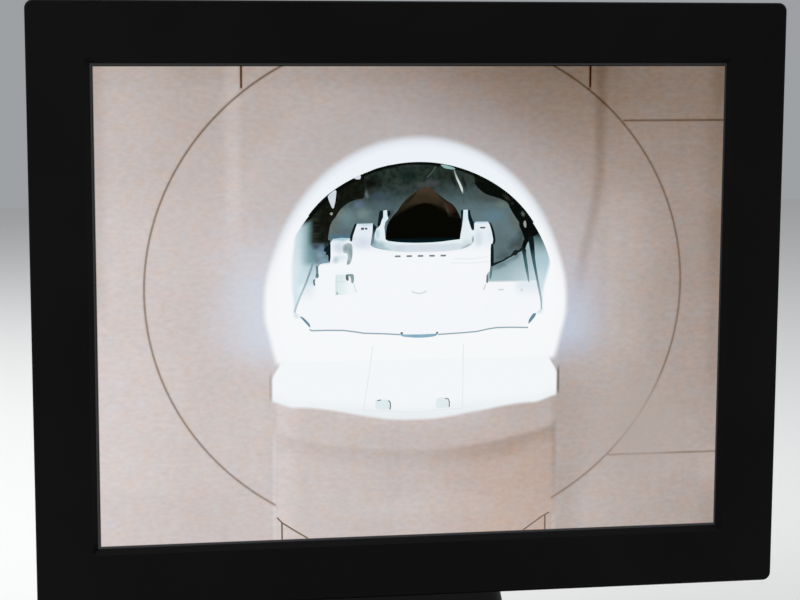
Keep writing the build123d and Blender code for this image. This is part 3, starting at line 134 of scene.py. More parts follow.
# Each lamp's name, its place and its side in metres, and its power in watts.
for name, place, side, power in (("key_lamp", (-1.3, -1.2, 1.5), 0.9, 22),
                                 ("fill_lamp", (1.5, -0.9, 0.9), 1.0, 7),
                                 ("rim_lamp", (-0.9, 1.1, 1.3), 0.8, 14),
                                 ("top_lamp", (0.2, 0.0, 1.9), 1.2, 12)):
    soft_lamp(name, place, side, power)

# Bezel and rear cover.
# The head's two shells are injection moulded in black ABS, with a fine spark-eroded grain. The
# rear cover is screwed to the bezel, and the grain is coarser on it.
BEZEL_BLACK = (0.0016, 0.0015, 0.0014)
BEZEL_SHEEN = (0.0034, 0.0033, 0.0032)
COVER_BLACK = (0.0075, 0.0074, 0.0073)
WORN_BLACK = (0.0200, 0.0198, 0.0196)


def own_place(nodes):
    """The object's own coordinates."""
    return nodes.new("ShaderNodeTexCoord").outputs["Object"]


def noise_at(nodes, place, scale, detail=3.0):
    """Soft random clouds at a place, from 0 to 1. The scale is a number or a socket."""
    texture = nodes.new("ShaderNodeTexNoise")
    return filled(texture, Vector=place, Scale=scale, Detail=detail).outputs["Fac"]


def ranged(nodes, value, from_low, from_high, to_low, to_high, way="LINEAR"):
    """A value moved from one range to another and held inside it."""
    node = filled(nodes.new("ShaderNodeMapRange"), Value=value, From_Min=from_low,
                  From_Max=from_high, To_Min=to_low, To_Max=to_high)
    node.interpolation_type = way
    return node.outputs["Result"]


def mixed(nodes, factor, low, high):
    """Two colours mixed by a factor. Each is a socket or three numbers."""
    node = nodes.new("ShaderNodeMix")
    node.data_type = "RGBA"
    for index, value in ((0, factor), (6, low), (7, high)):
        fill(node.inputs[index], value)
    return node.outputs[2]


def moulded_grain_group():
    """Grain of a moulded or sprayed surface: fine bumps, and slow changes of sheen and tone."""
    group = bpy.data.node_groups.new("moulded_grain", "ShaderNodeTree")
    for title, value in (("Grain", 2400.0), ("Depth", 0.00004), ("Sheen", 0.45)):
        socket = group.interface.new_socket(title, in_out="INPUT", socket_type="NodeSocketFloat")
        socket.default_value = value
    for title, kind in (("Normal", "Vector"), ("Roughness", "Float"), ("Tone", "Float")):
        group.interface.new_socket(title, in_out="OUTPUT", socket_type="NodeSocket" + kind)
    nodes = group.nodes
    given = nodes.new("NodeGroupInput").outputs
    place = own_place(nodes)
    fine = noise_at(nodes, place, given["Grain"], 2.0)
    slow = noise_at(nodes, place, 9.0, 4.0)
    bump = filled(nodes.new("ShaderNodeBump"), Strength=0.6, Distance=given["Depth"], Height=fine)
    add = nodes.new("ShaderNodeMath")
    fill(add.inputs[0], given["Sheen"])
    fill(add.inputs[1], ranged(nodes, slow, 0.3, 0.7, -0.05, 0.06))
    filled(nodes.new("NodeGroupOutput"), Normal=bump.outputs["Normal"], Roughness=add.outputs[0],
           Tone=ranged(nodes, slow, 0.3, 0.7, 0.0, 1.0))
    return group


moulded_grain = moulded_grain_group()


def grained(name, dark, light, grain, depth, sheen, gloss=0.5):
    """A grained material whose tone drifts between two close colours."""
    material, nodes, shader = plain_material(name)
    group = nodes.new("ShaderNodeGroup")
    group.node_tree = moulded_grain
    made = filled(group, Grain=grain, Depth=depth, Sheen=sheen).outputs
    filled(shader, Base_Color=mixed(nodes, made["Tone"], dark, light), Normal=made["Normal"],
           Roughness=made["Roughness"], Specular_IOR_Level=gloss)
    return material


def dress(material, *names):
    """Gives CAD nodes a material in place of their plain one."""
    for name in names:
        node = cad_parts[name]
        if not node.material_slots:
            node.data.materials.append(material)
        for place in node.material_slots:
            place.material = material


dress(grained("bezel_plastic", BEZEL_BLACK, BEZEL_SHEEN, 2600.0, 0.00003, 0.46, 0.06), "bezel")
dress(grained("cover_plastic", COVER_BLACK, WORN_BLACK, 1500.0, 0.00007, 0.50, 0.3), "rear_cover")

# Keys.
# Five moulded black caps under the bezel, polished by fingers, so smoother than the bezel.
KEY_DARK = (0.016, 0.016, 0.018)
KEY_LIGHT = (0.030, 0.030, 0.034)
key_names = ("power_key", "menu_key", "up_key", "down_key", "source_key")
dress(grained("key_plastic", KEY_DARK, KEY_LIGHT, 3200.0, 0.00001, 0.30), *key_names)

# Stand covers.
# The neck's two halves and the base's cover are moulded in the same black plastic as the head.
# The power jack's block is a smoother black moulding.
STAND_DARK = (0.0042, 0.0041, 0.0041)
STAND_LIGHT = (0.0095, 0.0094, 0.0096)
stand_plastic = grained("stand_plastic", STAND_DARK, STAND_LIGHT, 1800.0, 0.00005, 0.48, 0.2)
dress(stand_plastic, "neck_front_cover", "neck_rear_cover", "base_cover")
dress(grained("socket_plastic", KEY_DARK, KEY_LIGHT, 2000.0, 0.00003, 0.40), "dc_jack")

# Powder coated steel.
# The tilt bracket, the neck's frame, the foot plate and the base weight are cut and folded from
# steel sheet and powder coated black, with the coat's slight orange peel.
COAT_DARK = (0.020, 0.020, 0.021)
COAT_LIGHT = (0.034, 0.034, 0.036)
powder_coat = grained("powder_coat", COAT_DARK, COAT_LIGHT, 900.0, 0.00012, 0.42)
dress(powder_coat, "tilt_bracket", "neck_frame", "foot_plate", "base_weight")

# Zinc plated sheet.
# The panel's tray, the chassis plate and the shield are pressed from plated sheet, which shows a
# faint crystal pattern and rolling lines. The panel's rim is blackened. The screws and pins are
# plated too.
ZINC_DARK = (0.46, 0.47, 0.48)
ZINC_LIGHT = (0.62, 0.63, 0.63)
PANEL_BLACK = (0.020, 0.020, 0.022)


def plated(name, dark, light, sheen, lines):
    """Plated metal: crystal patches by Voronoi cells, and rolling lines by stretched noise."""
    material, nodes, shader = plain_material(name)
    place = own_place(nodes)
    cells = filled(nodes.new("ShaderNodeTexVoronoi"), Scale=160.0, Vector=place)
    stretch = filled(nodes.new("ShaderNodeMapping"), Scale=lines, Vector=place)
    streaks = noise_at(nodes, stretch.outputs["Vector"], 300.0, 2.0)
    tone = ranged(nodes, cells.outputs["Distance"], 0.0, 0.8, 0.0, 1.0)
    drift = ranged(nodes, streaks, 0.3, 0.7, sheen - 0.06, sheen + 0.08)
    bump = filled(nodes.new("ShaderNodeBump"), Strength=0.25, Distance=0.00002, Height=streaks)
    filled(shader, Base_Color=mixed(nodes, tone, dark, light), Roughness=drift, Metallic=1.0,
           Normal=bump.outputs["Normal"])
    return material


zinc = plated("zinc_sheet", ZINC_DARK, ZINC_LIGHT, 0.36, (0.05, 1.0, 1.0))
dress(zinc, "panel_tray", "chassis_plate", "board_shield")
dress(grained("panel_rim_black", PANEL_BLACK, COVER_BLACK, 1400.0, 0.00002, 0.5), "panel_frame")
screw_zinc = plated("screw_zinc", (0.30, 0.31, 0.32), (0.52, 0.53, 0.54), 0.30, (1.0, 1.0, 0.2))
dress(screw_zinc, "board_screws", "panel_screws", "cover_screws", "tilt_screws", "base_screws",
      "foot_screws", "hinge_pin", "pin_nut", "swivel_bolt", "swivel_nut", "stop_pin")

# Brass and nickel.
# The inserts and the boards' standoffs are turned brass. The video sockets are nickel plated.
brass = plated("turned_brass", (0.55, 0.36, 0.12), (0.76, 0.56, 0.24), 0.28, (1.0, 0.1, 1.0))
dress(brass, "board_standoffs", "vesa_inserts")
nickel = plated("nickel", (0.55, 0.54, 0.51), (0.72, 0.71, 0.68), 0.22, (1.0, 1.0, 0.1))
dress(nickel, "vga_socket", "bnc_input", "bnc_output")

# Boards and flat cables.
# The boards are glass fibre under green solder mask, with lighter tracks. The flat cables are
# white, with grey lines along their conductors.
MASK_DARK = (0.006, 0.060, 0.022)
MASK_LIGHT = (0.020, 0.130, 0.050)
CABLE_WHITE = (0.66, 0.64, 0.58)
CABLE_GREY = (0.32, 0.32, 0.31)
board_material, nodes, shader = plain_material("solder_mask")
place = own_place(nodes)
turn = filled(nodes.new("ShaderNodeMapping"), Rotation=(math.radians(90), 0, 0), Vector=place)
tracks = filled(nodes.new("ShaderNodeTexBrick"), Vector=turn.outputs["Vector"], Scale=60.0,
                Color1=MASK_DARK, Color2=MASK_DARK, Mortar=MASK_LIGHT, Mortar_Size=0.05)
sheen = ranged(nodes, noise_at(nodes, place, 60.0), 0.3, 0.7, 0.28, 0.42)
filled(shader, Base_Color=tracks.outputs["Color"], Roughness=sheen)
dress(board_material, "driver_board", "main_board", "power_board", "key_board")

cable_material, nodes, shader = plain_material("flat_cable")
waves = filled(nodes.new("ShaderNodeTexWave"), Scale=250.0, Distortion=0.0, Vector=own_place(nodes))
stripes = mixed(nodes, waves.outputs["Fac"], CABLE_GREY, CABLE_WHITE)
filled(shader, Base_Color=stripes, Roughness=0.45)
dress(cable_material, "panel_cable", "lamp_leads", "key_cable")

# Light guide, films and lamps.
# Behind the glass lie the film stack, a clear acrylic guide, a white sheet and two lamps.
film_white = grained("film_white", (0.74, 0.75, 0.76), (0.82, 0.82, 0.82), 1200.0, 0.00001, 0.5)
dress(film_white, "optical_films", "reflector_sheet", "light_guide")
silver = plated("silvered_film", (0.75, 0.75, 0.75), (0.86, 0.86, 0.86), 0.15, (1.0, 1.0, 1.0))
dress(silver, "lamp_reflectors")
phosphor = grained("lamp_phosphor", (0.80, 0.80, 0.78), (0.88, 0.88, 0.86), 800.0, 0.00001, 0.35)
dress(phosphor, "backlight_lamps")
glass = grained("panel_glass", (0.010, 0.011, 0.013), (0.016, 0.017, 0.019), 5000.0, 0.00001, 0.35)
dress(glass, "lcd_cell")

# Nylon and rubber.
# The washers and the swivel's ring are natural nylon. The four feet are moulded rubber.
nylon = grained("nylon", (0.62, 0.61, 0.56), (0.72, 0.71, 0.66), 700.0, 0.00005, 0.50)
dress(nylon, "friction_washers", "swivel_ring")
rubber = grained("rubber", (0.012, 0.012, 0.012), (0.022, 0.022, 0.021), 1100.0, 0.00008, 0.80)
dress(rubber, "rubber_feet")

# Picture, soft fields.
# The panel shows a large ring-shaped machine with beige covers, seen in a camera's view. Cover,
# ring, dock and column are soft fields of light, painted by formula in millimetres across and up
# from the middle of the screen, in display colours from 0 to 255.
GLOW_LEFT = (212, 226, 243)
GLOW_RIGHT = (196, 213, 239)
RING_WHITE = (236, 242, 247)
RING_LOW = (246, 247, 249)
RING_RIM = (220, 226, 233)
DOCK_WHITE = (243, 246, 248)
DOCK_SHADE = (233, 238, 241)
DOCK_LINE = (104, 96, 98)
EDGE_BLACK = (5, 4, 3)
# Upright ellipses: the middle, half the width and half the height.
RING_OUTSIDE = ((0.8, 0.0), 73.6, 81.0)
ROUND_JOINT = ((1.2, 7.5), 130.8, 122.8)
# Where the picture ends, across and up from its middle.
END_ACROSS = 152.05
END_UP = 114.05


def ink(colour):
    """A display colour from 0 to 255, as the linear colour that a shader takes."""
    share = np.array(colour, dtype=float) / 255
    return np.where(share <= 0.04045, share / 12.92, ((share + 0.055) / 1.055) ** 2.4).tolist()


class Amount:
    """A number that varies over a surface, so that a formula reads as plain sums and products."""

    def __init__(self, nodes, socket):
        self.nodes = nodes
        self.socket = socket

    def _with(self, operation, other=None, swapped=False):
        """The operation on this number alone, or on it and another, in this or the other order."""
        node = self.nodes.new("ShaderNodeMath")
        node.operation = operation
        terms = [self] if other is None else [other, self] if swapped else [self, other]
        for term, place in zip(terms, node.inputs):
            fill(place, term.socket if isinstance(term, Amount) else term)
        return Amount(self.nodes, node.outputs[0])

    __add__ = __radd__ = partialmethod(_with, "ADD")
    __mul__ = __rmul__ = partialmethod(_with, "MULTIPLY")
    __sub__ = partialmethod(_with, "SUBTRACT")
    __rsub__ = partialmethod(_with, "SUBTRACT", swapped=True)
    __truediv__ = partialmethod(_with, "DIVIDE")
    power = partialmethod(_with, "POWER")
    least = partialmethod(_with, "MINIMUM")
    most = partialmethod(_with, "MAXIMUM")
    root = partialmethod(_with, "SQRT")
    size = partialmethod(_with, "ABSOLUTE")

    def rise(self, low, high):
        """0 at low and 1 at high, with a smooth rise between them, and held beyond them."""
        ends = (low, high, 0.0, 1.0) if low < high else (high, low, 1.0, 0.0)
        return Amount(self.nodes, ranged(self.nodes, self.socket, *ends, "SMOOTHSTEP"))

    def between(self, low, high):
        """The colour from low to high that this share, from 0 to 1, gives."""
        return mixed(self.nodes, self.socket, ink(low), ink(high))


def screen_place(nodes):
    """Millimetres across and up from the middle of the screen."""
    apart = filled(nodes.new("ShaderNodeSeparateXYZ"), Vector=own_place(nodes)).outputs
    return (Amount(nodes, apart["X"]) - mid_x) / MM, (Amount(nodes, apart["Z"]) - mid_z) / MM


def outside(across, up, middle, half_w, half_h):
    """Roughly how many millimetres a point lies outside an upright ellipse."""
    wide = (across - middle[0]) / half_w
    tall = (up - middle[1]) / half_h
    return ((wide * wide + tall * tall).root() - 1.0) * min(half_w, half_h)


def paint(under, *layers):
    """Colours laid over another, one after the other, each by an amount."""
    for colour, amount in layers:
        top = colour if isinstance(colour, bpy.types.NodeSocket) else ink(colour)
        under = mixed(amount.nodes, amount.socket, under, top)
    return under


def lit(name, colour_of):
    """A panel material that glows with the colour that the formula gives."""
    material, nodes, shader = plain_material(name)
    filled(shader, Emission_Color=colour_of(nodes, *screen_place(nodes)), Emission_Strength=1.0,
           Base_Color=(0.0, 0.0, 0.0), Roughness=0.55, Specular_IOR_Level=0.02)
    return material


def speckle(nodes, scale, detail=2.0, stretch=(1.0, 1.0, 1.0)):
    """Random clouds about zero, from roughly -1 to 1."""
    turn = filled(nodes.new("ShaderNodeMapping"), Scale=stretch, Vector=own_place(nodes))
    return (Amount(nodes, noise_at(nodes, turn.outputs["Vector"], scale, detail)) - 0.5) * 4.0


def beige(nodes, level, tint):
    """Warm beige of a brightness from 0 to 255: red, green and blue are straight lines of it, and a
    tint from about -1 to 1 makes it pinker or bluer."""
    join = nodes.new("ShaderNodeCombineColor")
    red = level * 0.904 + 26.7 + tint * 2.0
    green = level * 0.989 - 0.5 - tint
    blue = level * 1.108 - 26.3 - tint * 3.0
    for amount, place in zip((red, green, blue), join.inputs):
        shown = (amount / 255 + 0.055) / 1.055
        fill(place, shown.power(2.4).socket)
    return join.outputs[0]


def patch(nodes, under, x, z, half_w, half_h, colour, amount=1.0, tilt=0.0, waver=0.0):
    """A soft patch of a colour: full in the middle of an ellipse, and fading out to half as far
    again as its edge. Sizes are in millimetres, the tilt in degrees, and the waver moves the edge
    in and out."""
    spot = filled(nodes.new("ShaderNodeMapping"), Vector=own_place(nodes),
                  Location=(mid_x + x * MM, glass_y, mid_z + z * MM),
                  Rotation=(0.0, math.radians(-tilt), 0.0), Scale=(half_w * MM, 1.0, half_h * MM))
    spot.vector_type = "TEXTURE"
    far = filled(nodes.new("ShaderNodeVectorMath"), Vector=spot.outputs["Vector"])
    far.operation = "LENGTH"
    share = (Amount(nodes, far.outputs["Value"]) + waver).rise(1.5, 0.1)
    return paint(under, (colour, share * amount))


def patched(nodes, under, patches, depth=0.22):
    """Soft patches laid over a colour, one after another, with edges that waver together. Each is
    a place, half a width, half a height, a colour, an amount and a tilt."""
    waver = depth * speckle(nodes, 420.0, 3.0)
    for row in patches:
        under = patch(nodes, under, *row, waver)
    return under


# Shades of the cover: how much each adds to the level, then its ramps at the left, the right, the
# foot and the top. A ramp goes from none of it at its first place to all of it at its second.
# OPEN_LOW leaves the shade unbounded at the left or the foot, OPEN_HIGH at the right or the top.
OPEN_LOW = (-1000, -999)
OPEN_HIGH = (1000, 999)
COVER_SHADES = (
    (-7, (-130, -104), (112, 90), (101, 111), OPEN_HIGH),
    (-5, (-70, -50), (10, -20), (96, 106), OPEN_HIGH),
    (-10, OPEN_LOW, (-144.5, -150.5), (-8, 10), OPEN_HIGH),
    (-9, (143, 150), OPEN_HIGH, (-56, -36), OPEN_HIGH),
    (6, (143, 150), OPEN_HIGH, (32, 60), (100, 92)),
    (7, (140, 146), OPEN_HIGH, (-96, -86), (-70, -78)),
    (-8, (140, 150), OPEN_HIGH, OPEN_LOW, (-94, -104)),
    (6.5, (92, 98), (120, 106), (-38, -20), (60, 48)),
    (4, (98, 106), (136, 122), (70, 80), OPEN_HIGH),
    (-5, (116, 132), OPEN_HIGH, (-6, 8), (54, 40)),
    (4, OPEN_LOW, (-96, -116), (-94, -84), (-10, -26)),
    (4, (104, 118), (150, 140), (-94, -84), (-52, -62)),
    (4, OPEN_LOW, (-108, -124), (72, 84), (108, 100)),
    (3, (-110, -100), (-70, -76), (-92, -82), (-34, -50)),
    (-5, (-44, -24), (40, 24), OPEN_LOW, (-98, -108)),
    (-13, (69, 71.5), (88, 74), OPEN_LOW, (-76, -92)),
    (-6, (70.5, 72), (96, 80), (-38, -32), (-14, -22)),
    (-17, (104, 72), (66, 71), (-28, -48), (-104, -72)),
    (8, OPEN_LOW, (-100, -152), OPEN_LOW, OPEN_HIGH),
    (-8, (-40, 20), (150, 112), (70, 105), OPEN_HIGH),
    (-9, (138, 150), OPEN_HIGH, (-5, 40), OPEN_HIGH))


def cover_colour(nodes, across, up, joint=0.0):
    """Beige that darkens to the right and to the top, a bluish glow, the white ring, the white
    dock with its bowed edge, and the column's curved shade. A joint is the same, but darker."""
    off_ring = outside(across, up, *RING_OUTSIDE)
    right = across.rise(20, 160)
    top = up.rise(20, 118)
    level = 195.5 - 43.0 * right - 24.0 * top
    level += 41.0 * (right * top) - 48.5 * (top * across.rise(-60, 80))
    level += 12.0 * (right * up.rise(20, -114))
    for added, left, at_right, foot, head in COVER_SHADES:
        sides = across.rise(*left) * across.rise(*at_right)
        level += added * (sides * up.rise(*foot) * up.rise(*head))
    # The column's curved band, with a soft lower side.
    on_column = (across - 0.8).size().rise(69.5, 67.0) * up.rise(-44, -47)
    sag = up + 71.6 - 0.0022 * (across * across)
    band = sag.rise(1.6, -1.6) * sag.rise(-13, -1) * on_column
    level -= (8.0 + 7.0 * across.rise(-20, 50)) * band
    level -= 5.0 * (on_column * sag.rise(4, -4) * across.rise(-10, 70) * up.rise(-112, -80))
    level += 9.0 * ((across + 68.6).size().rise(1.4, 0.3) * up.rise(-60, -66))
    right_side = (across - 69.6).size().rise(1.6, 0.3)
    level -= 12.0 * (right_side * up.rise(-56, -62) * up.rise(-112, -100))
    level += 5.0 * speckle(nodes, 520.0, 2.0, (0.55, 1.0, 1.0)) + 1.6 * speckle(nodes, 90.0)
    right_foot = on_column * across.rise(-5, 50)
    level -= (12.0 + 5.0 * band - 6.0 * up.rise(-75, -69)) * right_foot
    level += 9.0 * (on_column * across.rise(-52, -66))
    middle_foot = across.rise(-50, -10) * across.rise(50, 20) * on_column
    level -= 7.0 * (middle_foot * up.rise(-54, -64) * up.rise(-104, -86))
    # Soft upright bands where the cover's side panels bend.
    level += 9.0 * ((across + 87.5).size().rise(6, 1) * up.rise(12, 60))
    bend = 90.2 - 9.0 * up.rise(66, 4)
    level -= 17.0 * ((across - bend).size().rise(4.6, 0) * up.rise(-2, 18))
    level -= 7.0 * (off_ring.rise(15, 0) * up.rise(-10, -26) * across.rise(20, 60))
    level -= 9.0 * (off_ring.rise(26, 4) * up.rise(22, 45) * across.rise(-4, -36))
    # The joints between the covers, with a soft shade on both sides of them.
    round_joint = outside(across, up, *ROUND_JOINT).size()
    upper_joint = (up - 87.5).size().most(102.0 - across)
    lower_joint = (up + 77.2).size().most(96.5 - across)
    top_joint = ((across - 0.8).size() - 84.0).size().most(103.5 - up)
    near = round_joint.least(upper_joint.least(lower_joint.least(top_joint))).rise(1.4, 0.3)
    depth = 33.0 + 15.0 * across.rise(60, -90) - 6.0 * up.rise(-30, -90)
    depth += 40.0 * top_joint.rise(1.4, 0.7)
    level -= depth * (joint + 0.3 * near * (1.0 - on_column))
    tint = 1.4 * speckle(nodes, 150.0) + 0.8 * speckle(nodes, 420.0)
    tint += 2.4 * (right_foot * up.rise(-56, -76))
    colour = patch(nodes, beige(nodes, level, tint), 113, -62, 20, 26, (176, 164, 157), 0.75)
    # The glow round the ring, bluish, paler at the left and weaker at the top.
    leftwards = across.rise(40, -60)
    glow = (off_ring / (32.0 + 6.0 * leftwards)).rise(1.0, 0.0) * up.rise(-40, -14)
    glow *= 0.56 - 0.42 * (up + 14.0 * (1.0 - leftwards)).rise(0, 46)
    # The ring, with a soft outer edge, whiter low down.
    edge = off_ring + up.rise(8, 30) + 1.2 * up.rise(-4, -18)
    white = paint(up.rise(70, 20).between(RING_WHITE, RING_LOW),
                  (RING_RIM, off_ring.rise(-5.5, -1.5) * 0.8 * up.rise(0, 50)))
    # The dock: white, bowed below, with rounded cheeks and a narrow grey line at both sides.
    corner = across.size().rise(58, 72)
    low_edge = -49.4 - 7.4 * across.size().rise(58, 4) + 3.6 * corner - 0.5 * across.rise(24, 36)
    side = 65.2 + 4.6 * up.rise(-25, -36)
    off_middle = (across - 0.4).size()
    grey_line = (off_middle - 70.6).size().rise(1.0, 0.25) * up.rise(-30, -35) * up.rise(-47, -43)
    above = up - low_edge
    dock = above.rise(-0.9, 1.3) * (off_middle - side).rise(0.8, -0.8) * up.rise(-24, -27)
    tone = above.rise(1.0, 9.0) + 0.5 * across.size().rise(20, 50)
    # The picture ends a little inside the glass at the left, the top and the foot.
    end = (across + END_ACROSS).rise(0.8, 0.15).most((END_UP - up).rise(0.8, 0.15))
    end = end.most((up + END_UP).rise(0.55, 0.0))
    return paint(
        colour,
        (leftwards.between(GLOW_RIGHT, GLOW_LEFT), glow),
        (white, edge.rise(2.0, -1.8) * up.rise(-30, -26)),
        (DOCK_LINE, grey_line * (0.28 + 0.5 * across.rise(-10, 10))),
        (tone.between(DOCK_SHADE, DOCK_WHITE), dock),
        (EDGE_BLACK, end))


dress(lit("lit_cover", cover_colour),
      "picture_cover", "picture_ring", "picture_dock", "picture_column")


# Picture, seams.
# The narrow joints between the machine's covers, in the covers' own colour but darker.
def seam_colour(nodes, across, up):
    """The cover's colour with its level lowered."""
    return cover_colour(nodes, across, up, 1.0)


dress(lit("cover_seams", seam_colour), "picture_seams")

# Picture, inside of the machine's round opening.
# A dark hollow below a white rim. Its side walls catch pale blue light, and the floor is white.
HOLLOW_DARK = (13, 15, 8)
HOLLOW_MILD = (28, 32, 26)
HOLLOW_STREAK = (60, 67, 58)
RIM_BLACK = (4, 7, 4)
WALL_SHADE = (122, 158, 163)
WALL_PALE = (202, 220, 228)
RIGHT_WALL_DARK = (44, 74, 72)
RIGHT_WALL_PALE = (172, 198, 207)
MIST = (108, 134, 146)
LINER_WHITE = (246, 248, 249)
OPENING = ((1.2, 0.5), 67.8, 67.8)
MIST_PATCHES = (
    (-48.2, 28.4, 2.6, 1.5, (52, 62, 80), 0.8, 0), (-45.6, 27, 1.6, 2, (98, 118, 140), 0.6, 0),
    (-46.2, 24.4, 1.9, 1.8, (132, 162, 176), 0.7, 0),
    (-44.4, 21.6, 2.2, 1.1, (136, 170, 184), 0.7, 0),
    (-43.2, 28.6, 1.3, 2.4, (16, 24, 30), 0.9, 0))


def hollow_colour(nodes, across, up):
    """Near black with level streaks, pale walls at both sides, a misty patch low at the left, and
    white where the liner and the table's foot show."""
    mottle = (0.35 + 0.5 * speckle(nodes, 330.0, 3.0)).rise(0, 1.2)
    streaks = speckle(nodes, 260.0, 2.0, (0.35, 1.0, 4.0))
    colour = paint(
        mottle.between(HOLLOW_DARK, HOLLOW_MILD),
        (HOLLOW_STREAK, (0.35 + 0.5 * streaks).rise(0, 1) * across.rise(-44.5, -51)),
        (MIST, up.rise(31, 27.5) * across.rise(-38, -42)))
    colour = patched(nodes, colour, MIST_PATCHES)
    # The left wall, with its bend, its pale foot and a bright patch on it.
    left_pale = across.rise(-50.5, -57.5) + up.rise(24, 4) * 0.8 + 0.05 * streaks
    bend = across + 51.0 + up.rise(30, 10) * -4.5 + 0.35 * streaks
    low_left = up.rise(21.5, 18) * across.rise(-40, -44)
    colour = paint(
        colour,
        (left_pale.between(WALL_SHADE, WALL_PALE), bend.rise(2.0, -2.2) * up.rise(42.5, 39)),
        ((205, 224, 232), low_left * (0.65 + 0.35 * up.rise(18, 12))))
    colour = patch(nodes, colour, -59.4, 13, 3, 14, (222, 232, 238), 0.8, -8)
    # The right wall, the rim's shadow, and the liner's white at both sides and along the foot.
    right_pale = up.rise(34, 21) + 0.05 * speckle(nodes, 240.0)
    right_wall = paint(right_pale.between(RIGHT_WALL_DARK, RIGHT_WALL_PALE),
                       ((208, 225, 232), up.rise(22, 8) * 0.9))
    under_rim = outside(across, up, *OPENING).rise(-2.4, -0.8) * up.rise(37, 42)
    left_edge = across + (58.4 + up.rise(0, 10) - 1.5 * up.rise(18, 34))
    right_edge = across - (62.2 + 3.6 * up.rise(2, 21))
    return paint(
        colour,
        ((226, 238, 245), up.rise(12.5, 8) * across.rise(-60, -54) * across.rise(-40, -44)),
        (right_wall, up.rise(34.5, 30.5) * across.rise(48, 52)),
        (RIM_BLACK, under_rim),
        (LINER_WHITE, left_edge.rise(0.9, -1.4) * up.rise(38, 31)),
        (LINER_WHITE, right_edge.rise(-0.9, 1.4) * up.rise(34, 24)),
        (LINER_WHITE, up.rise(-4, -7)))


dress(lit("hollow", hollow_colour), "picture_bore", "picture_table", "picture_tunnel")

# Picture, shadow under the opening's rim.
# Each field from here on is a thin printed film on the one below it, on layers FILM millimetres
# apart. The shadow is widest at its two shoulders, where the opening is squarer than round.
FILM = 0.02
SHADOW_RADIUS = 67.2
SHADOW_SWELL = 0.62
# In degrees: where the shadow ends, and each shoulder's middle and spread.
SHADOW_ENDS = (34, 141)
SHOULDERS = ((42, 17), (132, 13))


def eased(outline, passes):
    """An outline with its corners cut at a fifth of both sides, again for each pass."""
    for _ in range(passes):
        after = np.roll(outline, -1, axis=0)
        ends = [outline * 0.8 + after * 0.2, outline * 0.2 + after * 0.8]
        outline = np.stack(ends, axis=1).reshape(-1, 2)
    return outline


def line(width, *places):
    """A line of one width, or of a width for each point: its points moved half the width to both
    sides of the line. Its places are across and up in turn."""
    points = np.reshape(places, (-1, 2)).astype(float)
    along = np.gradient(points, axis=0)
    along /= np.linalg.norm(along, axis=1, keepdims=True)
    aside = np.stack([-along[:, 1], along[:, 0]], axis=1) * np.reshape(width, (-1, 1)) / 2
    return np.concatenate([points + aside, (points - aside)[::-1]])


def printed(name, layer, passes, material, *outlines):
    """A thin film in front of the picture's glass, on a layer counted from it. Each outline, across
    and up in turn in millimetres from the screen's middle, is eased by the passes, turned one way
    and filled by one flat face."""
    points = []
    faces = []
    for outline in outlines:
        shape = eased(np.reshape(outline, (-1, 2)).astype(float), passes)
        x, z = shape.T
        turn = np.sum(x * np.roll(z, -1) - np.roll(x, -1) * z)
        x, z = (x, z) if turn > 0 else (x[::-1], z[::-1])
        faces.append(list(range(len(points), len(points) + len(x))))
        depth = np.full(len(x), glass_y - layer * FILM * MM)
        points.extend(np.stack([mid_x + x * MM, depth, mid_z + z * MM], axis=1).tolist())
    film = flat_mesh(name, points, faces)
    film.data.materials.append(material)
    skin = film.modifiers.new("film", "SOLIDIFY")
    skin.thickness = FILM * MM / 2
    skin.offset = -1.0
    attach(film, "head")


def plain_light(name, low, high, scale=300.0, depth=0.12):
    """A glowing material that wanders a little between two colours."""
    def colour(nodes, across, up):
        return (0.5 + depth * speckle(nodes, scale)).between(low, high)
    return lit(name, colour)


angles = np.linspace(*SHADOW_ENDS, 54)
circle = np.stack([np.cos(np.radians(angles)), np.sin(np.radians(angles))], axis=1)
swells = [np.exp(-((angles - middle) / spread) ** 2) for middle, spread in SHOULDERS]
outer_arc = OPENING[0] + (OPENING[1] + SHADOW_SWELL * sum(swells))[:, None] * circle
inner_arc = OPENING[0] + SHADOW_RADIUS * circle
printed(
    "rim_shadow", 2, 0, plain_light("rim_dark", (2, 5, 4), (12, 18, 14)),
    np.concatenate([outer_arc, inner_arc[::-1]]))

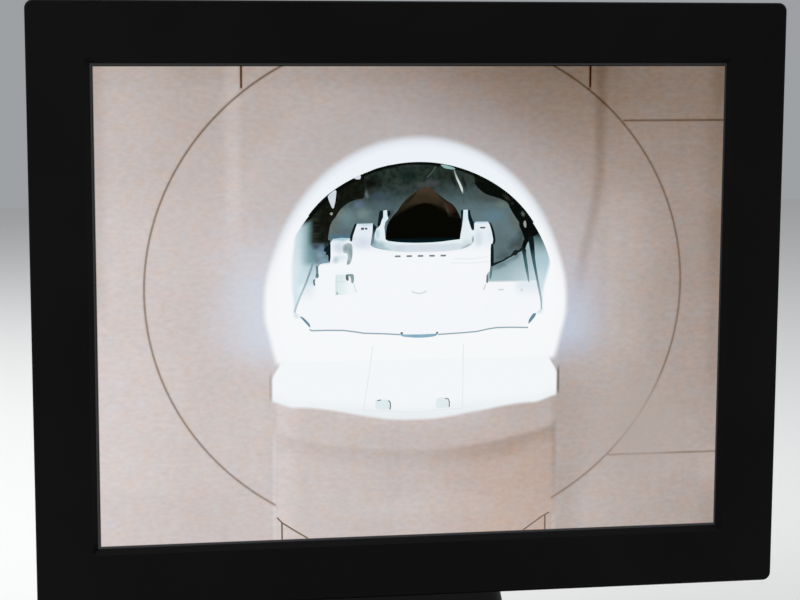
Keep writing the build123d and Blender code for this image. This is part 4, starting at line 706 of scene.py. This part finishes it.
# Picture, tunnel behind the table, with a brown arch over the dark far opening.
# The tunnel's wall is moulded in one piece and patchy with dim light. The arch stands before it.
ARCH_INSIDE = ((4.2, 31.0), 17.0, 17.6)
TUNNEL_PATCHES = (
    (-39.6, 38, 3.4, 4, (100, 107, 98), 0.7, 0), (-37, 44, 3, 3.4, (126, 134, 122), 0.5, 0),
    (-33, 42.5, 3.4, 4.6, (118, 146, 152), 0.5, 0), (-35.5, 35, 6, 1.8, (84, 97, 106), 0.6, 0),
    (-36, 33, 6, 0.9, (72, 112, 136), 0.9, 0), (33.5, 52, 6, 2.4, (74, 82, 80), 0.8, -25),
    (-27.6, 48, 2.4, 2, (106, 121, 146), 0.6, 0), (-25.6, 43.8, 4, 3, (124, 148, 146), 0.6, 0),
    (-18, 52, 4.4, 2.2, (58, 75, 94), 0.6, 0), (-23.8, 53.2, 0.9, 2, (106, 124, 126), 0.8, 8),
    (-21.5, 58.4, 5.4, 3.4, (10, 11, 6), 0.95, 25), (-22, 54.2, 2, 2, (40, 42, 36), 0.7, 0),
    (36, 50.6, 12, 2.4, (66, 74, 72), 0.6, -8), (-25.6, 60, 0.7, 3.4, (58, 58, 48), 0.7, 0),
    (-3, 62, 4.6, 3.2, (15, 32, 27), 0.8, 0), (-15, 47.6, 5, 2.4, (74, 95, 105), 0.5, 0),
    (-5, 67, 6, 1.2, (54, 70, 66), 0.6, 0), (7.6, 58.2, 4, 1.6, (76, 76, 84), 0.6, 0),
    (3.6, 57.2, 5.4, 1.7, (68, 72, 69), 0.7, 0), (15.4, 61.6, 4, 2.6, (36, 41, 33), 0.7, 0),
    (26, 61, 5, 2.4, (52, 61, 56), 0.8, -25), (42, 47.6, 3.6, 1.8, (112, 128, 116), 0.5, 0),
    (38, 42, 5.4, 3, (92, 128, 146), 0.6, 0), (48, 39.5, 2.6, 5.4, (97, 101, 93), 0.7, 20),
    (51.8, 32, 2.2, 6, (48, 58, 56), 0.7, 0), (41, 28, 4.4, 7, (76, 84, 84), 0.25, 0),
    (43.5, 22.6, 4.4, 3, (68, 80, 84), 0.7, 20), (-12.6, 43, 1.6, 3.6, (46, 54, 56), 0.7, -30),
    (49, 28, 4, 3.4, (58, 66, 64), 0.8, 0), (18, 60, 0.9, 4.4, (8, 12, 10), 0.85, 22),
    (23.2, 58.4, 0.9, 4, (10, 14, 12), 0.85, 20))
ARCH_PATCHES = (
    (3, 51.6, 4.6, 1.8, (46, 40, 26), 0.7, 0), (-4, 49, 1.8, 4.2, (42, 41, 27), 0.7, -38),
    (16, 46, 3, 1.7, (58, 38, 31), 0.8, -50), (19.4, 42.8, 1.7, 1.6, (3, 3, 2), 0.9, 0),
    (15.4, 44.6, 0.6, 4.6, (64, 62, 50), 0.7, 18), (-2.6, 51, 0.7, 4.4, (14, 15, 6), 0.8, -45),
    (13.4, 50.4, 0.7, 4, (16, 18, 9), 0.8, 48))


def tunnel_colour(nodes, across, up):
    """Grey-blue that fades to patchy green-grey towards the top, with soft patches of its own."""
    light = (up - 3.0 * across.rise(4, 18)).rise(60, 37) * (0.9 + 0.1 * across.rise(5, 30))
    light += 0.07 * speckle(nodes, 240.0, 3.0)
    mottle = speckle(nodes, 380.0, 3.0).rise(-0.9, 1.1)
    colour = paint(mottle.between((20, 30, 24), (46, 58, 52)), ((97, 119, 124), light))
    return paint(
        patched(nodes, colour, TUNNEL_PATCHES),
        ((116, 132, 138), (speckle(nodes, 520.0, 3.0) - 0.1).rise(0, 1.6) * (0.30 * light)),
        (RIM_BLACK, outside(across, up, *OPENING).rise(-1.9, -0.7)))


def arch_colour(nodes, across, up):
    """Olive brown at its crown, darker down its left side, reddish at the right, with a thin dark
    outer edge and a lighter band inside at the right."""
    crown = up.rise(43, 56) + 0.14 * speckle(nodes, 360.0, 3.0)
    colour = patched(nodes, crown.between((22, 19, 11), (66, 54, 41)), ARCH_PATCHES)
    return paint(colour, ((3, 3, 1), outside(across, up, *ARCH_INSIDE).rise(0.7, -0.8) * 0.8))


def far_colour(nodes, across, up):
    """Black, with a trace of teal along its foot."""
    return up.rise(32.4, 30.2).between((3, 3, 0), (0, 26, 32))


printed(
    "tunnel_wall", 1, 1, lit("tunnel", tunnel_colour),
    (-41.2,22, -41.2,31.2, -42.5,31.6, -42.0,35, -41.4,38.4, -40.2,40.8, -38.6,42.5, -37.8,44.2,
     -36.3,46.2, -34.2,48, -32.1,49.5, -28.9,50.7, -25.2,51.1, -24.6,54.6, -24.8,57, -25,62.8,
     -20,65.2, -12,67.2, 1,68.2, 12,67.2, 20,65.2, 28,62.2, 28.8,57.8, 29.6,56, 32.4,53.5,
     34.8,52.2, 38.2,51.2, 41.6,50.1, 44.9,48.3, 46,45.6, 47.6,43, 49.2,40.6, 50.6,38.8,
     51.5,36.6, 53.2,34.4, 54.9,32, 54.6,28, 52,26, 46.5,22.4, 42,19.8, 38,17.4, 34,12, -31,12))
printed(
    "tunnel_arch", 2, 1, lit("arch", arch_colour),
    (-14.2,30, -13.6,39.4, -12.5,40.9, -11,42.9, -8.9,45, -7.1,47.9, -5,50.4, -2.1,52.9, 0.4,54.6,
     2.1,55.7, 4.3,56.4, 7.1,55.7, 9.6,53.9, 12.1,51.8, 15,49.6, 17.9,47.9, 19.6,45.7, 20.7,43.6,
     22,41, 22.6,30))
printed(
    "far_opening", 3, 0, lit("far_dark", far_colour),
    (-14.8,29, -14.5,35, -13.9,38.4, -11.4,41.6, -8.6,43.4, -5.7,44.3, -3.6,45.5, -0.7,46.8,
     1.4,48, 4.3,48.6, 7.1,48.2, 9.6,46.6, 11.8,45.2, 14.2,43.8, 15.8,41.8, 18.6,41.4, 22.4,41,
     22.6,29))

# Picture, scraps of light and dark at the rim, and the slanting streak.
# Gaps in the machine's inner cover let light and dark through. The streak is a polished edge.
STRIP_PATCHES = (
    (44.3, 50.8, 2.2, 0.9, (48, 50, 42), 0.8, -40),
    (52.4, 42.8, 0.9, 1.3, (98, 106, 98), 0.8, 20), (47, 48, 0.8, 0.8, (44, 54, 50), 0.6, 0))


def streak_colour(nodes, across, up):
    """Brightest at its lower third, grey towards both ends."""
    return (up.rise(65, 58) * up.rise(52.6, 55)).between((112, 124, 126), (212, 218, 214))


def strip_colour(nodes, across, up):
    """Black, with three dim grey-green patches."""
    colour = (0.3 + 0.3 * speckle(nodes, 420.0)).between((3, 6, 4), (12, 17, 13))
    return patched(nodes, colour, STRIP_PATCHES)


printed(
    "rim_scraps", 4, 1, plain_light("scrap_light", (188, 196, 206), (230, 235, 242), 420.0),
    (-42.6,52.6, -39.2,55.4, -38.3,54.9, -38.6,52.4, -38.9,49.6, -39.7,46.4, -40.5,46.8,
     -41.3,48.6, -42.1,50.6),
    (-30.2,60.9, -27,62.5, -26.6,61.4, -27,60.3, -28.6,60.2))
printed(
    "dark_strip", 5, 0, lit("strip", strip_colour),
    (28.2,58, 31,58.6, 35,57.8, 40,55.4, 45,51.8, 50,47.2, 55,41.4, 58.4,36.6, 60,33.2, 57.6,31.6,
     56.2,29.6, 55.2,29.4, 54.3,27.6, 53.6,24.9, 52.4,24.8, 51.8,26.4, 52.4,28.6, 53.2,30.6,
     52.7,32.4, 51.8,34.6, 50.6,37, 50.5,39.2, 49,41.4, 47.5,43.4, 46.2,46, 45.4,48.2, 44,49.6,
     41.6,50.4, 39.6,51, 38,51.8, 34.6,52.6, 32.4,54, 29.8,56.4))
printed(
    "dim_scraps", 6, 1, plain_light("dim_scrap_light", (132, 140, 130), (166, 172, 164)),
    (-41.6,44.2, -40.6,44.9, -40,44.2, -40.4,43.3, -41.2,43.4),
    (53,39.4, 53.8,39.6, 54.2,37.4, 53.9,36, 53.2,36.4, 52.6,38))
printed(
    "streak", 4, 1, lit("streak_light", streak_colour),
    line([0.5, 0.7, 0.9, 1.0, 1.1, 0.4], 18.1,65.3, 18.9,62.8, 20.1,59.8, 21.4,57.2, 22.3,54.9,
         22.8,52.9))
printed(
    "dim_edges", 4, 0, plain_light("dim_light", (54, 72, 66), (78, 96, 90)),
    line(0.6, 5.2,60.8, 7.4,63, 9.6,66),
    line(0.5, 22.8,52.8, 23.3,50.6, 23.2,48))
printed(
    "crown_light", 4, 1, plain_light("crown_teal", (112, 148, 146), (172, 206, 202), 420.0),
    (11.6,66.8, 13.4,67.0, 15.6,66.4, 18,65.6, 19.2,64.8, 18,64.5, 15.4,64.9, 13.6,65.2))

# Picture, shelf at the right: a pale blue wall below the tunnel.
# It is made of strips, with dark joints between them and a jagged dark upper edge.
SHELF_PATCHES = (
    (49.6, 22.4, 2.6, 1.3, (96, 116, 124), 0.8, 40),
    (41.6, 18.2, 4.4, 1.7, (92, 116, 122), 0.8, 24),
    (46.4, 20.6, 3, 1.5, (110, 136, 144), 0.7, 30))


def shelf_colour(nodes, across, up):
    """Grey-teal at its upper left, paler to the lower right, and white along its foot."""
    light = across.rise(38, 62) * 0.45 + up.rise(26, 9) * 0.5 - 0.08 + 0.04 * speckle(nodes, 200.0)
    colour = patched(nodes, light.between((124, 154, 160), (208, 226, 233)), SHELF_PATCHES)
    return paint(colour, (LINER_WHITE, up.rise(10.9, 9.3)))


def joint_colour(nodes, across, up):
    """Nearly black at the top, fading to grey-teal and then pale at the foot."""
    return paint(up.rise(27, 19).between((10, 24, 26), (62, 98, 104)),
                 ((176, 198, 202), up.rise(19, 0) * (0.8 + 0.5 * across.rise(58, 54))))


jagged_dark = plain_light("shelf_edge_dark", (8, 14, 15), (34, 44, 44), 420.0)
printed(
    "shelf_wall", 4, 1, lit("shelf", shelf_colour),
    (33,8.5, 33.6,13, 36.2,15.4, 37,17.6, 40.5,19, 44,20.6, 48,22.6, 51,24.6, 52.5,25.8, 54.6,29,
     56.2,28.8, 57.6,22, 59.6,12, 60.2,8.5))
printed(
    "shelf_edge", 6, 0, jagged_dark,
    (37.2,19, 40.4,19.9, 42.8,20.7, 44.6,22, 46.4,22.6, 47.7,24.5, 48.9,25.3, 50.1,25, 51.3,26.1,
     52.6,27.4, 53,25.4, 51,24.3, 49.2,23.4, 47.6,22.4, 45.4,21.4, 43.6,20.2, 41,19.1, 38.6,18,
     37.2,17.2))
printed(
    "shelf_knot", 7, 1, jagged_dark,
    (47.4,23.4, 48,25, 49.4,25.6, 50.6,24.8, 49.6,22.9, 48.4,22.6))
printed(
    "shelf_joints", 8, 1, lit("joint_dark", joint_colour),
    (51.6,26, 52.4,23.5, 53.5,18, 54.7,12.5, 55.4,9.6, 56,9.6, 55.7,13, 55,18, 54.2,23, 54.2,26),
    (55,31.4, 55.8,27, 57,21, 58.9,13, 60.4,6, 61.5,1, 61.9,-4, 62.5,-4, 62.4,1, 61.4,6, 60,13,
     58.8,20, 58.4,25, 58,30, 57.4,32.4))

# Picture, table and headpiece: white moulded parts on the floor of the opening.
# One silhouette for all of them, with the shaded pieces laid over it.
TABLE_PATCHES = (
    (-24.6, 38.8, 5, 1, (190, 214, 228), 0.8, 0), (-25.6, 30, 4.4, 3.4, (209, 217, 230), 0.8, 0),
    (-24.6, 35, 3.2, 2.4, (226, 232, 243), 0.7, 0), (32, 39.2, 4.2, 0.8, (172, 204, 224), 0.8, 0),
    (30.8, 31.2, 2, 4, (208, 219, 228), 0.8, 0), (36.4, 33, 0.9, 3, (206, 226, 236), 0.6, 0),
    (-15, 42.4, 1.3, 3.4, (212, 230, 238), 0.8, 0),
    (24.2, 42.4, 1.5, 3.2, (206, 230, 238), 0.8, 0),
    (23.6, 35, 1.4, 3.6, (222, 236, 238), 0.7, 8), (-36.2, 32, 5.4, 1.1, (150, 190, 208), 0.8, 0),
    (-37, 27.8, 3, 3, (200, 214, 226), 0.8, 0), (-36, 23, 2.8, 1.8, (214, 232, 237), 0.8, 0),
    (-38.6, 22, 1.8, 1.8, (180, 204, 210), 0.8, 0), (-44, 20.4, 3, 0.6, (176, 204, 220), 0.6, 0))


def table_colour(nodes, across, up):
    """White, blue along the towers' and the box's top edges, lavender in their faces."""
    ends = (across.size() - 47).rise(0, 5) * up.rise(1, 9) * 0.5 + 0.02 * speckle(nodes, 140.0)
    colour = ends.between((244, 246, 249), (206, 222, 230))
    return patched(nodes, paint(colour, ((222, 233, 240), up.rise(24, 31) * 0.7)), TABLE_PATCHES)


printed(
    "table_white", 7, 0, lit("table", table_colour),
    (-58,-3, -57.7,0, -54,8.5, -50,8.6, -48.9,10, -48.6,12.6, -47,13.8, -47.2,18.4, -46.4,19.8,
     -45,20.4, -41.4,20.8, -41.3,30.2, -40,32, -36,32.5, -31.4,32.2, -30.9,31, -30.6,33.2,
     -29.6,36.2, -28.6,39.1, -20.9,39.2, -20.7,37, -21.3,33, -21.9,28.6, -20.4,31, -20.2,35,
     -19.3,36.5, -17.9,37.5, -17.1,39.2, -16.5,40.9, -15.9,42, -15.8,45.2, -14.1,45.5, -13.9,43,
     -13.4,41.4, -14.8,39.7, -15.3,37.4, -14.7,30.8, -8,29.9, 0,29.5, 10,29.7, 21.5,31, 21.8,33.4,
     22.4,36.8, 22.9,40, 23.1,45.1, 25.2,45.2, 25.4,41, 26.3,38, 27.2,35.6, 28.2,35, 28.4,38.6,
     29.4,39.4, 35.1,39.3, 36.1,37.8, 37.1,34.4, 37.8,30.6, 37.5,28.8, 36.7,28, 36.6,17.4,
     36.3,15.4, 34.8,13.7, 34.4,9.8, 59.4,9.8, 62,-1, 61.5,-4, 59,-6, 56.4,-9.6, 55.5,-12.8,
     40,-12.6, 30,-14, 11,-15.3, -7,-15.3, -15,-14.6, -25,-14, -35,-12.2, -51,-12, -51.4,-9,
     -55.8,-5.2))

# Picture, cradle below the far opening, and the rows of small marks.
# The cradle is lined with pale padding, and the marks are small holes with two lobes.
CRADLE_PATCHES = (
    (-20.4, 29.4, 2.2, 2.6, (118, 152, 158), 0.95, 0),
    (-17.4, 28.8, 3.4, 2.2, (156, 186, 194), 0.9, 0),
    (-12.4, 28.2, 3, 2, (198, 222, 226), 0.7, 0), (-15, 27, 2.6, 0.9, (162, 190, 194), 0.7, -14),
    (-18.6, 34.2, 1.3, 3.2, (176, 204, 218), 0.8, 0),
    (-16.2, 34, 0.8, 3, (224, 238, 242), 0.8, 0), (-8, 27.2, 3.2, 1.4, (202, 210, 222), 0.7, 0),
    (3, 26.8, 8, 1.4, (216, 219, 228), 0.6, 0), (18, 28, 5, 1.6, (206, 220, 222), 0.7, 0),
    (25, 29.4, 3, 1.8, (198, 216, 220), 0.7, 0), (25.2, 33, 2, 2.4, (222, 236, 236), 0.7, 0),
    (28.1, 30.4, 0.9, 2.2, (98, 116, 122), 0.95, 0),
    (25, 27.5, 3.4, 0.8, (150, 168, 174), 0.8, 24), (-18.4, 27, 4, 0.5, (108, 144, 150), 0.7, -14))


def cradle_colour(nodes, across, up):
    """Pale grey with a bright upper edge, and grey-teal hollows at both ends."""
    colour = up.rise(28, 29.4).between((212, 222, 230), (230, 240, 243))
    return paint(patched(nodes, colour, CRADLE_PATCHES), (LINER_WHITE, up.rise(25.6, 24.6)))


def two_lobed(x, z, half_w, half_h):
    """A small mark with two lobes: an ellipse whose height dips at its middle."""
    turn = np.linspace(0, 2 * math.pi, 16, endpoint=False)
    tall = half_h * np.sin(turn) * (0.72 + 0.5 * np.abs(np.cos(turn)))
    return np.stack([x + half_w * np.cos(turn), z + tall], axis=1)


printed(
    "cradle_lining", 8, 1, lit("cradle", cradle_colour),
    (-22,28.4, -20,27.5, -16.4,26.6, -12.1,25.8, -6,25.1, 4,24.8, 14,25.2, 18,25.6, 21,26,
     24.5,26.8, 27.5,28.5, 28.3,30.5, 28.2,34.6, 27.2,35.4, 26,34, 24.6,31.4, 21.8,31, 10,29.7,
     0,29.5, -8,29.9, -14.7,30.8, -15.1,34, -15.4,36.8, -17.8,37.3, -19.4,36.2, -20.2,34,
     -20.5,31))
printed(
    "band_foot", 9, 0, plain_light("band_foot_line", (224, 229, 233), (236, 240, 243)),
    line(0.4, 17,19.6, 26,19.3, 36,19.9),
    line(0.4, 18,21.6, 28,21.4, 35,22.4))
printed(
    "headpiece_marks", 9, 0, plain_light("mark_dark", (96, 108, 114), (134, 144, 150)),
    *(two_lobed(x, 23.2, 1.45, 0.55) for x in (-8.8, -3.2, 2.3, 7.9, 13.4)))
printed(
    "tower_marks", 9, 0, plain_light("tower_mark_dark", (66, 72, 84), (104, 110, 122)),
    two_lobed(-25.8, 36.7, 0.8, 0.75), two_lobed(-24.1, 36.7, 0.65, 0.6),
    two_lobed(32.6, 36.4, 1.4, 0.5))


# Picture, shadows beside the towers, the posts and the boxes, and the table's small lines.
# Narrow dark slivers where the white parts stand apart, and the grooves round the table's edge.
def side_colour(nodes, across, up):
    """Nearly black at its top, fading to grey-teal at its foot."""
    return up.rise(37, 31).between((8, 28, 38), (104, 136, 146))


def line_colour(nodes, across, up):
    """Grey-blue, paler low down on the left wall, darker again along the table's front edge."""
    return paint(up.rise(16, 4).between((136, 158, 168), (182, 199, 207)),
                 ((146, 170, 180), up.rise(-8, -11)))


printed(
    "black_slivers", 10, 1, plain_light("sliver_dark", (2, 14, 20), (14, 34, 42)),
    (-29.5,39.3, -28.5,39.2, -29.5,36.2, -30.5,33.2, -30.9,30.6, -31.9,30.8, -31.8,33.2,
     -30.8,36.2),
    (-17.7,45.2, -16,45.4, -15.9,42, -16.6,40.8, -17.2,38.6, -17.8,37.6, -18.8,38, -18.3,41),
    (21.8,45, 23,45.2, 22.8,41.5, 22.3,38.6, 21.9,41.5),
    (25.3,45.2, 26.3,45, 26.7,42.5, 27.6,40.2, 28.4,38.6, 28.4,35.2, 27.2,35.4, 26.3,38, 25.4,41),
    (35.6,39.2, 36.8,38.4, 37.8,36, 38.6,33.2, 39,30.6, 38.7,28.6, 37.7,27.8, 37.9,30.5,
     37.2,34.2, 36.2,37.4),
    (36.6,28.6, 37.9,28.4, 38.2,24, 38.2,19, 37.6,17.4, 36.6,17.4),
    (-41.2,31.2, -42.3,30.6, -42.4,28.8, -44.2,27.8, -44.6,26.2, -43.2,25.8, -43.8,24.2,
     -42.8,24.6, -42.2,23.6, -42.4,21.6, -41.2,21.4),
    (-13.8,45.2, -12.6,45.2, -12.3,43.4, -13.2,42.4, -13.8,43))
printed(
    "teal_slivers", 10, 1, plain_light("sliver_teal", (66, 96, 102), (118, 150, 156), 160.0),
    (36.5,17.6, 37.9,17.8, 37.5,14.5, 36.9,11.4, 36.2,11.4, 36.3,15.2),
    (34.7,13.7, 35.4,13.5, 35.6,11, 35.3,9.4, 34.6,9.6),
    (-48.4,19.3, -47.2,19.3, -47.2,16.5, -46.8,14, -47.6,13.2, -48.6,14, -48,16.2),
    (-49.6,12.7, -48.6,13, -48.8,11.4, -48.5,9.8, -49.2,9.7, -49.7,11.2))
printed(
    "tower_side", 10, 1, lit("tower_shadow", side_colour),
    (-20.9,39.3, -20.2,38.6, -19.1,37.4, -19.3,36.2, -20,34.4, -20.2,31, -21,29, -22.1,28.5,
     -21.5,32, -21,35.5))
printed(
    "table_lines", 9, 0, lit("table_line", line_colour),
    line(0.95, -49.6,20.8, -50.7,17.4, -53.2,10.6, -55.7,5, -57.7,0, -58.6,-3),
    line(0.65, -51.4,-11.2, -50.6,-11.9, -43,-11.9, -35,-12.1, -29,-13, -25,-13.7, -15,-14.2,
         -7,-14.8),
    line(0.65, 11,-15.1, 22,-14.6, 30,-14.1, 36,-12.9, 40,-12.4, 48,-12.4, 55.6,-12.7))
printed(
    "table_notches", 10, 1, plain_light("notch_dark", (72, 112, 132), (128, 160, 176)),
    (-56.2,-4.8, -54.6,-5.2, -51.2,-8.6, -51,-10.6, -52,-9.6, -55,-6.2),
    (59.6,-5.6, 58,-5.8, 56,-8.6, 55.6,-11, 56.8,-10, 59,-7.4))
printed(
    "table_sill", 10, 1, plain_light("sill_blue", (92, 140, 166), (164, 200, 216)),
    (-7.4,-14.3, -6.4,-14.7, 2,-14.9, 10.2,-14.7, 11.2,-14.1, 10,-16, 2,-16.6, -6.6,-15.8))
printed(
    "sill_ends", 11, 1, plain_light("sill_end_dark", (74, 86, 96), (110, 124, 134)),
    (-7.6,-13.6, -6,-13.6, -6.3,-14.7, -7.1,-14.5),
    (10,-13.8, 11.2,-13.8, 10.9,-14.8, 10.3,-14.9))

# Picture, side box on the left: a grey face, and below it a pale recess with a knob.
# The fine marks are the chevron on the table's front and the guide's small parts at the right.
BOX_PATCHES = (
    (-34, 27.4, 1.5, 1.9, (138, 156, 160), 0.9, 0), (-31.6, 26, 1, 4.4, (128, 150, 154), 0.8, 10),
    (-32.8, 20.6, 1, 2, (142, 160, 168), 0.9, 0))
RECESS_PATCHES = (
    (-36.4, 13.4, 2.2, 1.2, (222, 228, 233), 0.8, 0),
    (-38.4, 5.9, 0.8, 0.8, (96, 106, 106), 0.9, 0))


def box_colour(nodes, across, up):
    """Grey-white, shaded along its right-hand edge and round the hollow at its upper left."""
    colour = across.rise(-36.2, -33).between((214, 222, 226), (176, 190, 192))
    return patched(nodes, colour, BOX_PATCHES)


def recess_colour(nodes, across, up):
    """Pale teal at its left, fading to white, with a greyer upper strip and a dark lower corner."""
    colour = across.rise(-38, -31).between((220, 235, 235), (242, 245, 248))
    return patched(nodes, colour, RECESS_PATCHES)


printed(
    "side_box_face", 8, 1, lit("box_shade", box_colour),
    (-35.3,28.9, -33,30, -30.7,29.4, -30.6,24.4, -31.2,21.2, -32.2,19.6, -33.6,19.6, -32.9,22.6,
     -33.2,25.1, -34.8,25, -35.5,26.2))
printed(
    "recess", 8, 0, lit("recess_shade", recess_colour),
    (-38.7,14.8, -29.8,15.2, -29.9,11.6, -28.7,6, -29.4,5.4, -38.7,5))
printed(
    "knob", 9, 1, plain_light("knob_grey", (110, 134, 140), (152, 174, 180), 260.0, 0.2),
    (-33.4,15.1, -30.1,15.1, -29.9,12, -30.5,10.5, -31.2,10.7, -31.5,13.6, -32.8,14.2))
printed(
    "knob_side", 10, 1, plain_light("knob_dark", (78, 96, 98), (106, 126, 128)),
    (-34,14.8, -32.8,14.9, -32.4,12.2, -33.2,11.7, -33.9,12.5))
printed(
    "recess_lines", 9, 0, plain_light("recess_line", (196, 218, 220), (220, 232, 233)),
    line(0.6, -38.5,14.5, -38.6,10, -38.6,5.2),
    line(0.5, -38.2,11.6, -36,11.4, -34,11.6),
    line(0.5, -30,10.6, -29.6,8.5, -28.8,6.2))
printed(
    "fine_marks", 9, 0, plain_light("fine_mark", (196, 202, 206), (226, 228, 230)),
    line(0.6, -2,6.1, 0,5.3, 2,5, 3.6,5.4, 5.4,6.1),
    (40.6,6.5, 43.2,6.5, 43.2,5.8, 40.6,5.8),
    (51,6.3, 52.8,6.5, 52.8,5.2, 52,5.2),
    (34,9, 34.6,8.8, 33.8,6.2, 33,6.2))

# Picture, the dock's drawer.
# Faint joints run round the drawer. Its two pale latches have dark right-hand edges.
printed(
    "drawer_joints", 1, 0, plain_light("drawer_joint", (226, 231, 235), (234, 238, 241)),
    line(0.5, -20.8,-20, -22.3,-31.5, -24.2,-44, -25.3,-51.6),
    line(0.5, 23.6,-20, 23.5,-30, 23.4,-51.6),
    line(0.55, -25.3,-51.4, -12.6,-52.3, 0,-53.2, 10.6,-52.3, 22.6,-51.7))
printed(
    "latches", 2, 1, plain_light("latch_pale", (214, 227, 230), (234, 241, 243), 200.0),
    (-19.6,-46.8, -17.4,-46.2, -13.4,-46.4, -12.2,-47.6, -12.4,-51.4, -19.4,-51.2),
    (10,-47.2, 12,-46.1, 15.4,-46.2, 16.9,-47.6, 16.9,-51.2, 10.2,-51.4))
printed(
    "latch_edges", 3, 0, plain_light("latch_dark", (84, 100, 104), (120, 136, 140)),
    line(0.55, -13.1,-46.8, -12.2,-48, -12.1,-49.8, -12.4,-51.4),
    line(0.5, 14.8,-46.6, 16.3,-46.9, 16.9,-48.4, 16.8,-51),
    line(0.5, -18.6,-46.8, -17.6,-46.6, -16.8,-46.5))

# Picture, seams inside the column's foot.
# Two slanting joints where the foot's covers meet, and an upright one below each.
printed(
    "foot_seams", 1, 0, plain_light("foot_seam", (104, 88, 76), (140, 122, 108)),
    line(0.75, -67.4,-102.8, -65.1,-105.4, -59.8,-109, -52.3,-113.8),
    line(0.85, -65.1,-105.2, -65.05,-109, -65,-113.8),
    line(0.7, 67.4,-105.2, 64,-107, 59.7,-110, 54.2,-113.8),
    line(0.85, 65.3,-106.4, 65.3,-110, 65.3,-113.8))
